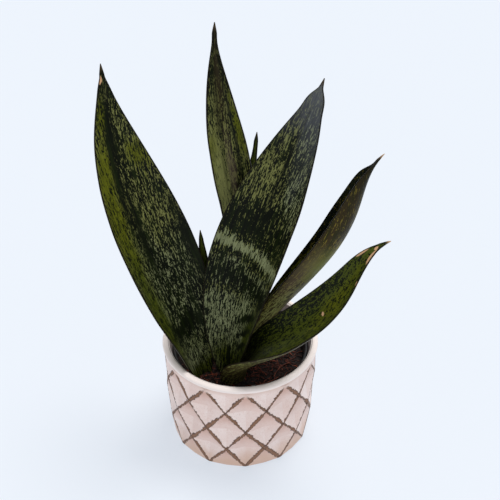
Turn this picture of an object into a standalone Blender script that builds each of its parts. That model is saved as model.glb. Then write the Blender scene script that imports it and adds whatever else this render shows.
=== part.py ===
"""Potted broad-leaf snake plant standing in a glazed ceramic cover pot.

Metres, +Z up. The origin is the centre of the pot's flat base. The pot is turned and carries a
relief of diamonds round its wall, a black nursery pot stands inside it, and the plant grows from a
rootstock buried in that pot's soil.
"""

import math
from dataclasses import dataclass

import bmesh
import bpy
from mathutils import Matrix, Vector

# ---------------------------------------------------------------- driving dimensions
OBJECT_NAME = "potted_snake_plant"
FIT_GAP = 0.0003  # clear space between pieces that touch

# cover pot
POT_HEIGHT = 0.098
RIM_RADIUS = 0.0672
RIM_BEAD_HEIGHT = 0.0052
MOUTH_RADIUS = 0.061
BAND_RADIUS = 0.0653
THROAT_DEPTH = 0.012
THROAT_STEP = 0.0018  # how much the bore narrows from the mouth to the throat
POT_WALL = 0.0045
POT_FLOOR = 0.006
FOOT_RADIUS = 0.0592
INNER_FILLET = 0.008

# diamond relief round the cover pot
DIAMONDS_ROUND = 12
PATTERN_TURN = math.radians(3.8)
RELIEF_TOP_DROP = 0.0062  # first row of crossings below the rim
RELIEF_FOOT_RISE = 0.0016  # last row of crossings above the base
RELIEF_ROWS = 4  # half-diamond rows between those two
CROSSING_RADIUS_TOP = 0.0664
CROSSING_RADIUS_FOOT = 0.0622
TAPER_POWER = 2.5  # how late the crossings draw in towards the foot
DIMPLE_DEPTH = 0.0048
EDGE_DIMPLE_SHARE = 0.5  # depth of the half dimples in the first and last rows
SHELL_EDGE = 0.0004  # chamfer of the foot and undercut of the bead
SHOULDER_HEIGHT = 0.0032  # where the plain band goes in behind the relief
CORE_SHARE = 0.55  # of the wall, for the turned core inside the relief
ROOTED_SHARE = 0.3  # of the wall, for the inner face of the relief's ring

# nursery pot
LINER_DROP = 0.0095  # its lip below the cover pot's rim
LINER_WALL = 0.0011
LINER_TAPER = 0.010  # how much its radius shrinks from lip to floor
LINER_LIP_WIDTH = 0.0010
LINER_LIP_HEIGHT = 0.003
LINER_SIDE_PLAY = 0.0006  # play between its lip and the throat of the cover pot
DRAIN_HOLES = 6
DRAIN_HOLE_RADIUS = 0.004
DRAIN_RING_SHARE = 0.6

# soil and rootstock
SOIL_DROP = 0.020  # soil surface below the cover pot's rim
SOIL_DOME = 0.0015
FOOT_DEPTH = 0.004  # the leaves' feet below the soil surface
ROOT_DEPTH = 0.026  # the rootstock's thickness
ROOT_LOBE_RADIUS = 0.013
ROOT_CORE_RADIUS = 0.024
ROOT_SIDE_ROOM = 0.002  # soil left between the rootstock and the nursery pot
LOBE_DROP = 0.55  # how far below the leaves' feet a lobe's middle is, in half depths
CORE_DROP = 0.8  # the same for the core that joins the lobes
LOBE_SIDES = 14
LOBE_RINGS = 9

# leaves
LEAF_THICKNESS_FOOT = 0.0030
LEAF_THICKNESS_TIP = 0.0013
LEAF_MARGIN_THICKNESS = 0.0009
SPIKE_LENGTH = 0.006
SPIKE_HALF_WIDTH = 0.0008
SPIKE_SWELL = 0.25  # how much of the spike's width is left at its very end
SIDE_SHARE = 0.6  # most of the thickness that a margin may have
FOOT_TUCK = 0.001  # length of each foot below the plane it is trimmed to
CURL_START = 0.78  # share of the length where the tip's curl begins
BEND_END = 0.35  # share of the length where the foot's bend ends
LEAF_SECTIONS = 22
LEAF_STRIPS = 8
WALK_STEPS = 8  # steps of the midline between two sections
CUTTER_REACH = 0.30  # share of a leaf's length that its socket in the soil follows

# litter on the soil
STRAND_RADIUS = 0.0006
STRAND_POINTS = 10
CHIP_BEVEL = 0.0004


@dataclass(frozen=True)
class Leaf:
    """One leaf, walked from its foot to its tip.

    foot is its place as a share of the soil bed's radius. heading (degrees from +X), tilt (degrees
    from upright) and roll (degrees about the leaf's own line) are given at foot, middle and tip.
    foot_bend and tip_curl add tilt near the two ends. half_width runs along the blade's arc, and
    fold is half the angle that this arc turns through, at foot and tip.
    """

    name: str
    foot: tuple
    length: float
    heading: tuple
    tilt: tuple
    roll: tuple
    half_width: tuple  # at the foot and at the widest place
    widest_at: float
    taper: float
    fold: tuple
    foot_bend: float = 0.0
    tip_curl: float = 0.0


LEAVES = (
    Leaf("leaf_left", (-0.635, -0.468), 0.278, (161, 133, 101), (12, 28.6, 32), (-14, -1, -1),
         (0.012, 0.0381), 0.40, 1.04, (65, 25)),
    Leaf("leaf_center", (-0.152, -0.402), 0.270, (51, 31, 44), (1.5, 21.5, 27), (5.5, 21, 23.5),
         (0.010, 0.036), 0.42, 0.86, (70, 20)),
    Leaf("leaf_back", (0.092, 0.239), 0.289, (117, 127, 84.5), (3, 12, 20.5), (6.5, 2.5, -4),
         (0.010, 0.0205), 0.57, 1.15, (70, 40)),
    Leaf("leaf_right_upper", (0.270, -0.139), 0.241, (3.5, -13, -10.5), (21, 32, -16),
         (-27.5, -5.5, 0), (0.011, 0.0297), 0.65, 0.91, (85, 85.5), -31, 55),
    Leaf("leaf_right_lower", (-0.018, -0.599), 0.210, (-42, -17, 5), (48.5, 37.5, 6.5),
         (-9, 24.5, 22.5), (0.0174, 0.0261), 0.31, 0.84, (88, 30), -40, 66),
    Leaf("young_leaf_back", (-0.151, 0.038), 0.199, (101, 69, 69), (16, 30.5, 10.5), (0, 0, 0),
         (0.004, 0.009), 0.45, 0.85, (70, 60)),
    Leaf("young_leaf_left", (-0.436, -0.109), 0.126, (112, 110, 110), (8, 13.5, 8), (0, 0, 0),
         (0.004, 0.008), 0.45, 0.70, (70, 60)),
)


@dataclass(frozen=True)
class Strand:
    """One coir strand lying on the soil: an arc by its centre, length, heading and bend."""

    name: str
    middle: tuple  # share of the soil bed's radius
    length: float
    heading: float  # degrees
    bend: float  # degrees turned along its length


STRANDS = (
    Strand("coir_strand_1", (0.36, -0.66), 0.030, 22, 50),
    Strand("coir_strand_2", (0.64, -0.34), 0.026, 50, -55),
    Strand("coir_strand_3", (0.74, 0.16), 0.024, 110, -45),
    Strand("coir_strand_4", (0.50, 0.58), 0.030, 140, 50),
    Strand("coir_strand_5", (-0.10, 0.72), 0.030, 8, -40),
    Strand("coir_strand_6", (-0.62, 0.38), 0.028, 60, 55),
)


@dataclass(frozen=True)
class Chip:
    """One chip of bark or grit lying on the soil."""

    name: str
    middle: tuple  # share of the soil bed's radius
    size: tuple
    heading: float  # degrees


CHIPS = (
    Chip("bark_chip_1", (0.16, 0.58), (0.0080, 0.0045, 0.0022), 25),
    Chip("bark_chip_2", (0.40, 0.18), (0.0065, 0.0050, 0.0020), -40),
    Chip("bark_chip_3", (-0.42, 0.70), (0.0090, 0.0050, 0.0025), 70),
    Chip("grit_grain_1", (0.20, -0.80), (0.0028, 0.0022, 0.0020), 15),
)

# ---------------------------------------------------------------- sizes that follow from them
RIM_Z = POT_HEIGHT
SOIL_Z = POT_HEIGHT - SOIL_DROP
LEAF_FOOT_Z = SOIL_Z - FOOT_DEPTH
THROAT_RADIUS = MOUTH_RADIUS - THROAT_STEP
INNER_FLOOR_RADIUS = FOOT_RADIUS - POT_WALL - 0.0012
LINER_LIP_Z = POT_HEIGHT - LINER_DROP
LINER_FLOOR_Z = POT_FLOOR + FIT_GAP
LINER_LIP_RADIUS = THROAT_RADIUS - LINER_SIDE_PLAY
LINER_TOP_RADIUS = LINER_LIP_RADIUS - LINER_LIP_WIDTH
LINER_FOOT_RADIUS = LINER_TOP_RADIUS - LINER_TAPER
ROUND_SEGMENTS = 48
BEAD_STEPS = 10
FILLET_STEPS = 5
DOME_STEPS = 8
TURN_MERGE = 0.00005


def inner_wall_radius(z):
    """Radius of the cover pot's inner wall at height z."""
    throat_z = RIM_Z - THROAT_DEPTH
    if z >= throat_z:
        share = (z - throat_z) / THROAT_DEPTH
        return THROAT_RADIUS + (MOUTH_RADIUS - THROAT_RADIUS) * share
    share = (z - POT_FLOOR) / (throat_z - POT_FLOOR)
    return INNER_FLOOR_RADIUS + (THROAT_RADIUS - INNER_FLOOR_RADIUS) * max(share, 0.0)


def liner_outer_radius(z):
    """Radius of the nursery pot's outer wall at height z."""
    share = (z - LINER_FLOOR_Z) / (LINER_LIP_Z - LINER_FLOOR_Z)
    return LINER_FOOT_RADIUS + (LINER_TOP_RADIUS - LINER_FOOT_RADIUS) * share


def soil_radius(z):
    """Radius of the soil where it meets the nursery pot's inner wall."""
    return liner_outer_radius(z) - LINER_WALL - FIT_GAP


SOIL_EDGE_Z = SOIL_Z - 2 * SOIL_DOME
BED_RADIUS = soil_radius(SOIL_EDGE_Z)

# ---------------------------------------------------------------- scene helpers


def clear_scene():
    """Remove every object of the start-up file."""
    for obj in list(bpy.data.objects):
        bpy.data.objects.remove(obj, do_unlink=True)


def new_collection(name):
    """A collection of this name in the scene."""
    collection = bpy.data.collections.new(name)
    bpy.context.scene.collection.children.link(collection)
    return collection


def new_material(name, colour, roughness, metallic=0.0):
    """A plain Principled material."""
    material = bpy.data.materials.new(name)
    material.use_nodes = True
    shader = material.node_tree.nodes["Principled BSDF"]
    shader.inputs["Base Color"].default_value = (*colour, 1.0)
    shader.inputs["Roughness"].default_value = roughness
    shader.inputs["Metallic"].default_value = metallic
    material.diffuse_color = (*colour, 1.0)
    return material


def add_object(name, data, collection, material=None):
    """An object for this mesh or curve, in this collection."""
    obj = bpy.data.objects.new(name, data)
    collection.objects.link(obj)
    if material is not None:
        data.materials.append(material)
    return obj


def mark_cutter(obj):
    """Hide a cutter from renders and draw it as wire."""
    obj.hide_render = True
    obj.display_type = "WIRE"
    return obj


def cut_or_join(obj, other, operation):
    """Add an exact Boolean to obj."""
    modifier = obj.modifiers.new(f"{operation.lower()}_{other.name}", "BOOLEAN")
    modifier.operation = operation
    modifier.solver = "EXACT"
    modifier.object = other
    return modifier


def smooth_round(mesh, degrees=35):
    """Smooth shading that keeps edges sharper than this angle."""
    mesh.shade_smooth()
    mesh.set_sharp_from_angle(angle=math.radians(degrees))


def turned_object(name, profile, collection, material):
    """A solid of revolution: its (radius, z) profile ends on the axis at both ends.

    The profile starts on the upper side and runs down the outer side to the base.
    """
    mesh = bpy.data.meshes.new(name)
    points = [(radius, 0.0, z) for radius, z in profile]
    edges = [(i, i + 1) for i in range(len(points) - 1)]
    mesh.from_pydata(points, edges, [])
    obj = add_object(name, mesh, collection, material)
    screw = obj.modifiers.new("turn", "SCREW")
    screw.axis = "Z"
    screw.angle = math.tau
    screw.steps = ROUND_SEGMENTS
    screw.render_steps = ROUND_SEGMENTS
    screw.use_merge_vertices = True
    screw.merge_threshold = TURN_MERGE
    screw.use_smooth_shade = True
    return obj


def arc_points(centre, radius, start, end, count):
    """Points on an arc in the (radius, z) plane, angles in degrees from the outward direction."""
    points = []
    for i in range(count + 1):
        angle = math.radians(start + (end - start) * i / count)
        points.append((centre[0] + radius * math.cos(angle), centre[1] + radius * math.sin(angle)))
    return points


# ---------------------------------------------------------------- cover pot


def shell_profile():
    """The turned part of the cover pot: floor, inner wall, rim bead and a core under the relief."""
    profile = [(0.0, POT_FLOOR)]
    centre = (inner_wall_radius(POT_FLOOR + INNER_FILLET) - INNER_FILLET, POT_FLOOR + INNER_FILLET)
    profile += arc_points(centre, INNER_FILLET, -90, 0, FILLET_STEPS)
    profile.append((THROAT_RADIUS, RIM_Z - THROAT_DEPTH))
    bead_radius = (RIM_RADIUS - MOUTH_RADIUS) / 2
    bead_centre = (MOUTH_RADIUS + bead_radius, RIM_Z - RIM_BEAD_HEIGHT / 2)
    for i in range(BEAD_STEPS + 1):
        angle = math.radians(180 - 225 * i / BEAD_STEPS)
        radius = bead_centre[0] + bead_radius * math.cos(angle)
        profile.append((radius, bead_centre[1] + RIM_BEAD_HEIGHT / 2 * math.sin(angle)))
    profile.append((BAND_RADIUS, RIM_Z - RIM_BEAD_HEIGHT - SHELL_EDGE))
    profile.append((BAND_RADIUS, RIM_Z - RELIEF_TOP_DROP - 2 * SHELL_EDGE))
    core_top = RIM_Z - RELIEF_TOP_DROP - 2 * SHELL_EDGE - SHOULDER_HEIGHT
    profile.append((core_radius(core_top), core_top))
    profile.append((core_radius(POT_FLOOR), POT_FLOOR))
    profile.append((FOOT_RADIUS, 2 * RELIEF_FOOT_RISE))
    profile.append((FOOT_RADIUS, SHELL_EDGE))
    profile.append((FOOT_RADIUS - SHELL_EDGE, 0.0))
    profile.append((0.0, 0.0))
    return profile


def core_radius(z):
    """Outer radius of the turned core that the relief wraps round."""
    return inner_wall_radius(z) + POT_WALL * CORE_SHARE


def relief_rows():
    """Heights of the rows of crossings, top to bottom."""
    top = RIM_Z - RELIEF_TOP_DROP
    step = (top - RELIEF_FOOT_RISE) / RELIEF_ROWS
    return [top - step * row for row in range(RELIEF_ROWS + 1)]


def relief_radius(row, column):
    """Radius of the relief's surface: a crossing stands out, a dimple's middle is sunk."""
    share = (row / RELIEF_ROWS) ** TAPER_POWER
    crossing = CROSSING_RADIUS_TOP + (CROSSING_RADIUS_FOOT - CROSSING_RADIUS_TOP) * share
    if (row + column) % 2 == 0:
        return crossing
    edge_row = row in (0, RELIEF_ROWS)
    return crossing - DIMPLE_DEPTH * (EDGE_DIMPLE_SHARE if edge_row else 1.0)


def relief_mesh():
    """The ring of diamonds: raised crossings, sunk middles, each square split along its ridge."""
    columns = 2 * DIAMONDS_ROUND
    rows = relief_rows()
    build = bmesh.new()
    outer = []
    inner = []
    for row, z in enumerate(rows):
        outer_row = []
        inner_row = []
        for column in range(columns):
            angle = PATTERN_TURN + math.tau * column / columns
            out = Vector((math.sin(angle), -math.cos(angle), 0.0))
            lift = Vector((0.0, 0.0, z))
            outer_row.append(build.verts.new(out * relief_radius(row, column) + lift))
            inner_radius = inner_wall_radius(z) + POT_WALL * ROOTED_SHARE
            inner_row.append(build.verts.new(out * inner_radius + lift))
        outer.append(outer_row)
        inner.append(inner_row)
    for row in range(len(rows) - 1):
        for column in range(columns):
            after = (column + 1) % columns
            corners = [outer[row][column], outer[row][after]]
            corners += [outer[row + 1][after], outer[row + 1][column]]
            if (row + column) % 2 == 0:
                build.faces.new((corners[0], corners[2], corners[1]))
                build.faces.new((corners[0], corners[3], corners[2]))
            else:
                build.faces.new((corners[0], corners[3], corners[1]))
                build.faces.new((corners[1], corners[3], corners[2]))
            build.faces.new((inner[row][column], inner[row][after],
                             inner[row + 1][after], inner[row + 1][column]))
    for column in range(columns):
        after = (column + 1) % columns
        build.faces.new((outer[0][column], outer[0][after], inner[0][after], inner[0][column]))
        build.faces.new((outer[-1][after], outer[-1][column], inner[-1][column], inner[-1][after]))
    bmesh.ops.recalc_face_normals(build, faces=build.faces)
    mesh = bpy.data.meshes.new("diamond_relief")
    build.to_mesh(mesh)
    build.free()
    return mesh


def make_cover_pot(parts, cutters):
    """The ceramic cover pot, as one solid: turned shell joined to the ring of diamonds."""
    glaze = new_material("glazed_stoneware", (0.78, 0.62, 0.55), 0.35)
    pot = turned_object("cover_pot", shell_profile(), parts, glaze)
    relief = mark_cutter(add_object("diamond_relief", relief_mesh(), cutters))
    cut_or_join(pot, relief, "UNION")
    return pot


# ---------------------------------------------------------------- nursery pot


def liner_profile():
    """The nursery pot: thin tapering wall, rolled lip and a flat floor."""
    lip_low = LINER_LIP_Z - LINER_LIP_HEIGHT
    inner_floor_z = LINER_FLOOR_Z + LINER_WALL
    profile = [(0.0, inner_floor_z)]
    profile.append((liner_outer_radius(inner_floor_z) - LINER_WALL, inner_floor_z))
    profile.append((LINER_TOP_RADIUS - LINER_WALL, LINER_LIP_Z))
    profile.append((LINER_LIP_RADIUS, LINER_LIP_Z))
    profile.append((LINER_LIP_RADIUS, lip_low))
    profile.append((liner_outer_radius(lip_low), lip_low))
    profile.append((LINER_FOOT_RADIUS, LINER_FLOOR_Z))
    profile.append((0.0, LINER_FLOOR_Z))
    return profile


def make_nursery_pot(parts, cutters):
    """The black nursery pot with its ring of drain holes."""
    plastic = new_material("black_plastic", (0.012, 0.012, 0.013), 0.5)
    liner = turned_object("nursery_pot", liner_profile(), parts, plastic)
    ring = LINER_FOOT_RADIUS * DRAIN_RING_SHARE
    build = bmesh.new()
    for hole in range(DRAIN_HOLES):
        angle = math.tau * hole / DRAIN_HOLES
        place = Vector((ring * math.cos(angle), ring * math.sin(angle), LINER_FLOOR_Z))
        bmesh.ops.create_cone(build, cap_ends=True, segments=24, radius1=DRAIN_HOLE_RADIUS,
                              radius2=DRAIN_HOLE_RADIUS, depth=LINER_WALL * 6,
                              matrix=Matrix.Translation(place))
    mesh = bpy.data.meshes.new("drain_holes")
    build.to_mesh(mesh)
    build.free()
    holes = mark_cutter(add_object("drain_holes", mesh, cutters))
    cut_or_join(liner, holes, "DIFFERENCE")
    return liner


# ---------------------------------------------------------------- leaves


def between(values, share):
    """The quadratic through values at foot, middle and tip."""
    foot, middle, tip = values
    near = foot * (1 - share) * (1 - 2 * share)
    return near + middle * 4 * share * (1 - share) + tip * share * (2 * share - 1)


def foot_place(leaf):
    """Where a leaf's midline starts, just below the plane its foot is trimmed to."""
    return Vector((leaf.foot[0] * BED_RADIUS, leaf.foot[1] * BED_RADIUS, LEAF_FOOT_Z - FOOT_TUCK))


def half_width(leaf, share):
    """Half the blade's width along its arc, ending in a narrow spike."""
    spike_share = SPIKE_LENGTH / leaf.length
    blade_share = min(share / (1 - spike_share), 1.0)
    if blade_share < leaf.widest_at:
        swell = math.sin(math.pi / 2 * blade_share / leaf.widest_at)
        width = leaf.half_width[0] + (leaf.half_width[1] - leaf.half_width[0]) * swell
    else:
        fall = (blade_share - leaf.widest_at) / (1 - leaf.widest_at)
        width = leaf.half_width[1] * max(math.cos(math.pi / 2 * fall), 0.0) ** leaf.taper
    spike = SPIKE_HALF_WIDTH * min(1.0, (1 - share) / spike_share + SPIKE_SWELL)
    return max(width, spike)


def leaf_frames(leaf, sections):
    """Midline point, across and inward directions at each section from foot to tip."""
    place = foot_place(leaf)
    steps = sections * WALK_STEPS
    frames = []
    step = leaf.length / steps
    for i in range(steps + 1):
        share = i / steps
        heading = math.radians(between(leaf.heading, share))
        tilt = between(leaf.tilt, share)
        tilt += leaf.tip_curl * max((share - CURL_START) / (1 - CURL_START), 0.0) ** 2
        tilt += leaf.foot_bend * max(1 - share / BEND_END, 0.0) ** 2
        tilt = math.radians(tilt)
        along = Vector((math.sin(tilt) * math.cos(heading), math.sin(tilt) * math.sin(heading),
                        math.cos(tilt)))
        if i > 0:
            place = place + (along + before) * (step / 2)
        before = along
        if i % WALK_STEPS == 0:
            across = Vector((-math.sin(heading), math.cos(heading), 0.0))
            inward = along.cross(across)
            turn = Matrix.Rotation(math.radians(between(leaf.roll, share)), 3, along)
            frames.append((share, place.copy(), turn @ across, turn @ inward))
    return frames


def leaf_mesh(leaf, grow=0.0, reach=1.0):
    """The blade as a loft of crescent sections; grow thickens it all round for a cutter."""
    build = bmesh.new()
    rings = []
    for share, place, across, inward in leaf_frames(leaf, LEAF_SECTIONS):
        if share > reach:
            break
        width = half_width(leaf, share)
        fold = math.radians(leaf.fold[0] + (leaf.fold[1] - leaf.fold[0]) * share)
        radius = width / fold
        thick = LEAF_THICKNESS_FOOT + (LEAF_THICKNESS_TIP - LEAF_THICKNESS_FOOT) * share
        thick = min(thick, width)
        margin = min(LEAF_MARGIN_THICKNESS, thick * SIDE_SHARE) + 2 * grow
        thick += 2 * grow
        if grow > 0:
            fold *= 1 + 2 * grow / width
            place = place - across.cross(inward) * (2 * grow)
        upper = []
        lower = []
        for strip in range(LEAF_STRIPS + 1):
            u = 2 * strip / LEAF_STRIPS - 1
            angle = fold * u
            middle = place + across * (radius * math.sin(angle))
            middle = middle + inward * (radius * (1 - math.cos(angle)))
            facing = inward * math.cos(angle) - across * math.sin(angle)
            half_thick = (margin + (thick - margin) * math.sqrt(1 - u * u)) / 2
            if strip in (0, LEAF_STRIPS):
                upper.append(build.verts.new(middle))
                continue
            upper.append(build.verts.new(middle + facing * half_thick))
            lower.append(build.verts.new(middle - facing * half_thick))
        rings.append(upper + lower[::-1])
    for ring, after in zip(rings, rings[1:]):
        count = len(ring)
        for i in range(count):
            j = (i + 1) % count
            build.faces.new((ring[i], ring[j], after[j], after[i]))
    build.faces.new(rings[0])
    build.faces.new(rings[-1][::-1])
    bmesh.ops.recalc_face_normals(build, faces=build.faces)
    mesh = bpy.data.meshes.new(leaf.name)
    build.to_mesh(mesh)
    build.free()
    smooth_round(mesh, 50)
    return mesh


def make_leaves(parts, cutters):
    """All the leaves, each trimmed flat where it sits on the rootstock."""
    green = new_material("leaf_green", (0.055, 0.085, 0.03), 0.4)
    below = bmesh.new()
    block_height = ROOT_DEPTH + 0.02
    shape = Matrix.Diagonal((2 * BED_RADIUS, 2 * BED_RADIUS, block_height, 1.0))
    lift = Matrix.Translation((0.0, 0.0, LEAF_FOOT_Z - block_height / 2))
    bmesh.ops.create_cube(below, size=1.0, matrix=lift @ shape)
    mesh = bpy.data.meshes.new("foot_trimmer")
    below.to_mesh(mesh)
    below.free()
    trimmer = mark_cutter(add_object("foot_trimmer", mesh, cutters))
    leaves = []
    for leaf in LEAVES:
        blade = add_object(leaf.name, leaf_mesh(leaf), parts, green)
        cut_or_join(blade, trimmer, "DIFFERENCE")
        leaves.append(blade)
    return leaves


# ---------------------------------------------------------------- rootstock and soil


def rootstock_lobes(grow):
    """Centres and radii of the swellings under the leaves, and of the core that joins them."""
    top = LEAF_FOOT_Z
    half_depth = ROOT_DEPTH / 2
    lobes = []
    middle = Vector((0.0, 0.0, 0.0))
    farthest = soil_radius(top - ROOT_DEPTH) - ROOT_SIDE_ROOM - ROOT_LOBE_RADIUS
    for leaf in LEAVES:
        place = foot_place(leaf)
        place.z = 0.0
        place *= min(1.0, farthest / place.length)
        middle += Vector((place.x, place.y, 0.0)) / len(LEAVES)
        centre = Vector((place.x, place.y, top - half_depth * LOBE_DROP))
        lobes.append((centre, (ROOT_LOBE_RADIUS + grow, ROOT_LOBE_RADIUS + grow, half_depth + grow)))
    centre = Vector((middle.x, middle.y, top - half_depth * CORE_DROP))
    lobes.append((centre, (ROOT_CORE_RADIUS + grow, ROOT_CORE_RADIUS + grow, half_depth + grow)))
    return lobes


def make_rootstock(name, collection, material, grow, cutters):
    """The swollen rootstock: lobes joined to a core, trimmed flat where the leaves sit."""
    solid = None
    for i, (centre, radii) in enumerate(rootstock_lobes(grow)):
        build = bmesh.new()
        shape = Matrix.Translation(centre) @ Matrix.Diagonal((*radii, 1.0))
        bmesh.ops.create_uvsphere(build, u_segments=LOBE_SIDES, v_segments=LOBE_RINGS, radius=1.0, matrix=shape)
        mesh = bpy.data.meshes.new(f"{name}_lobe_{i}")
        build.to_mesh(mesh)
        build.free()
        if solid is None:
            solid = add_object(name, mesh, collection, material)
        else:
            lobe = mark_cutter(add_object(f"{name}_lobe_{i}", mesh, cutters))
            cut_or_join(solid, lobe, "UNION")
    build = bmesh.new()
    top = LEAF_FOOT_Z - FIT_GAP + grow
    shape = Matrix.Diagonal((2 * RIM_RADIUS, 2 * RIM_RADIUS, ROOT_DEPTH, 1.0))
    bmesh.ops.create_cube(build, size=1.0,
                          matrix=Matrix.Translation((0, 0, top + ROOT_DEPTH / 2)) @ shape)
    mesh = bpy.data.meshes.new(f"{name}_trimmer")
    build.to_mesh(mesh)
    build.free()
    trimmer = mark_cutter(add_object(f"{name}_trimmer", mesh, cutters))
    cut_or_join(solid, trimmer, "DIFFERENCE")
    return solid


def make_soil(parts, cutters):
    """The soil, filling the nursery pot up to its surface, with room for plant and roots."""
    earth = new_material("potting_soil", (0.035, 0.02, 0.014), 0.95)
    floor = LINER_FLOOR_Z + LINER_WALL + FIT_GAP
    profile = []
    for i in range(DOME_STEPS + 1):
        share = i / DOME_STEPS
        lift = SOIL_DOME * math.cos(math.pi * share)
        profile.append((BED_RADIUS * share, SOIL_Z - SOIL_DOME + lift))
    profile.append((soil_radius(floor), floor))
    profile.append((0.0, floor))
    soil = turned_object("soil", profile, parts, earth)
    room = make_rootstock("rootstock_room", cutters, None, FIT_GAP, cutters)
    mark_cutter(room)
    for leaf in LEAVES:
        mesh = leaf_mesh(leaf, grow=FIT_GAP, reach=CUTTER_REACH)
        mesh.name = f"{leaf.name}_room"
        cutter = mark_cutter(add_object(f"{leaf.name}_room", mesh, cutters))
        cut_or_join(room, cutter, "UNION")
    cut_or_join(soil, room, "DIFFERENCE")
    return soil


# ---------------------------------------------------------------- litter on the soil


def soil_height(radius):
    """Height of the soil surface at this radius."""
    share = min(radius / BED_RADIUS, 1.0)
    return SOIL_Z - SOIL_DOME + SOIL_DOME * math.cos(math.pi * share)


def make_strand(strand, collection, material):
    """A strand of coir as a round fibre that follows the soil's surface."""
    curve = bpy.data.curves.new(strand.name, "CURVE")
    curve.dimensions = "3D"
    curve.bevel_depth = STRAND_RADIUS
    curve.bevel_resolution = 1
    curve.use_fill_caps = True
    spline = curve.splines.new("POLY")
    spline.points.add(STRAND_POINTS - 1)
    step = strand.length / (STRAND_POINTS - 1)
    heading = math.radians(strand.heading - strand.bend / 2)
    turn = math.radians(strand.bend) / (STRAND_POINTS - 1)
    route = [Vector((0.0, 0.0, 0.0))]
    for _ in range(STRAND_POINTS - 1):
        route.append(route[-1] + Vector((math.cos(heading), math.sin(heading), 0.0)) * step)
        heading += turn
    centre = sum(route, Vector((0.0, 0.0, 0.0))) / len(route)
    middle = Vector((strand.middle[0] * BED_RADIUS, strand.middle[1] * BED_RADIUS, 0.0))
    for point, place in zip(spline.points, route):
        place = place - centre + middle
        place.z = soil_height(place.length) + STRAND_RADIUS + FIT_GAP
        point.co = (*place, 1.0)
    return add_object(strand.name, curve, collection, material)


def make_chip(chip, collection, material):
    """A chip as a small bevelled block, lying just clear of the soil."""
    build = bmesh.new()
    middle = Vector((chip.middle[0] * BED_RADIUS, chip.middle[1] * BED_RADIUS, 0.0))
    middle.z = SOIL_Z + chip.size[2] / 2 + FIT_GAP
    shape = Matrix.Translation(middle) @ Matrix.Rotation(math.radians(chip.heading), 4, "Z")
    shape = shape @ Matrix.Diagonal((*chip.size, 1.0))
    bmesh.ops.create_cube(build, size=1.0, matrix=shape)
    mesh = bpy.data.meshes.new(chip.name)
    build.to_mesh(mesh)
    build.free()
    obj = add_object(chip.name, mesh, collection, material)
    bevel = obj.modifiers.new("edges", "BEVEL")
    bevel.width = CHIP_BEVEL
    bevel.segments = 2
    return obj


def make_litter(parts):
    """The loose coir strands, bark chips and grit on the soil."""
    coir = new_material("coir_fibre", (0.16, 0.07, 0.04), 0.8)
    bark = new_material("bark", (0.12, 0.07, 0.04), 0.85)
    for strand in STRANDS:
        make_strand(strand, parts, coir)
    for chip in CHIPS:
        make_chip(chip, parts, bark)


def main():
    """Build the whole object."""
    clear_scene()
    parts = new_collection(OBJECT_NAME)
    cutters = new_collection("cutters")
    make_cover_pot(parts, cutters)
    make_nursery_pot(parts, cutters)
    make_leaves(parts, cutters)
    root_brown = new_material("rootstock_brown", (0.35, 0.22, 0.10), 0.8)
    make_rootstock("rootstock", parts, root_brown, 0.0, cutters)
    make_soil(parts, cutters)
    make_litter(parts)


main()
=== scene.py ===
"""Finished look of a potted broad-leaf snake plant in a glazed ceramic cover pot.

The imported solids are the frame. Fine blades, a glazed pot with its diamond relief, a nursery pot,
fibrous soil and loose litter stand in their places, on a plain pale floor under soft light.
"""

import logging
import math
from dataclasses import dataclass
from enum import Enum
from typing import Sequence

import bmesh
import bpy
import numpy as np
from mathutils import Matrix, Vector, noise


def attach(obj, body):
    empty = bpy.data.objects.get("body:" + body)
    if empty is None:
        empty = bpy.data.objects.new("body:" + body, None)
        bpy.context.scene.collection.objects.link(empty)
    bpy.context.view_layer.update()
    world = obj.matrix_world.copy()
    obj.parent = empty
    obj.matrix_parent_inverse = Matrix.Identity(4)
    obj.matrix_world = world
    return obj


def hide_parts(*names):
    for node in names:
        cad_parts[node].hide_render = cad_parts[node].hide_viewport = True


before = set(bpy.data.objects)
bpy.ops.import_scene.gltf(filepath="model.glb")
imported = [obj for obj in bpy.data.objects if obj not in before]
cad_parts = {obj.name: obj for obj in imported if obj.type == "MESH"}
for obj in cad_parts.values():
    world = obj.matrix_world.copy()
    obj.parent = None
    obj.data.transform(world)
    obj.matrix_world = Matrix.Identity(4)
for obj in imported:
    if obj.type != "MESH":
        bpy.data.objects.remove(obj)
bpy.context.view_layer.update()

LOG = logging.getLogger("snake_plant")
BODY = "root"

Number = float | int
Colour = tuple[float, float, float, float]


def display(red: Number, green: Number, blue: Number) -> Colour:
    """Turn a display colour into a scene-linear one.

    Args:
        red: Red, 0 to 255.
        green: Green, 0 to 255.
        blue: Blue, 0 to 255.

    Returns:
        The linear colour with full alpha.
    """
    linear = []
    for value in (red, green, blue):
        share = value / 255
        linear.append(share / 12.92 if share <= 0.04045 else ((share + 0.055) / 1.055) ** 2.4)
    return (linear[0], linear[1], linear[2], 1.0)


# ---------------------------------------------------------------- node wiring


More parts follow.
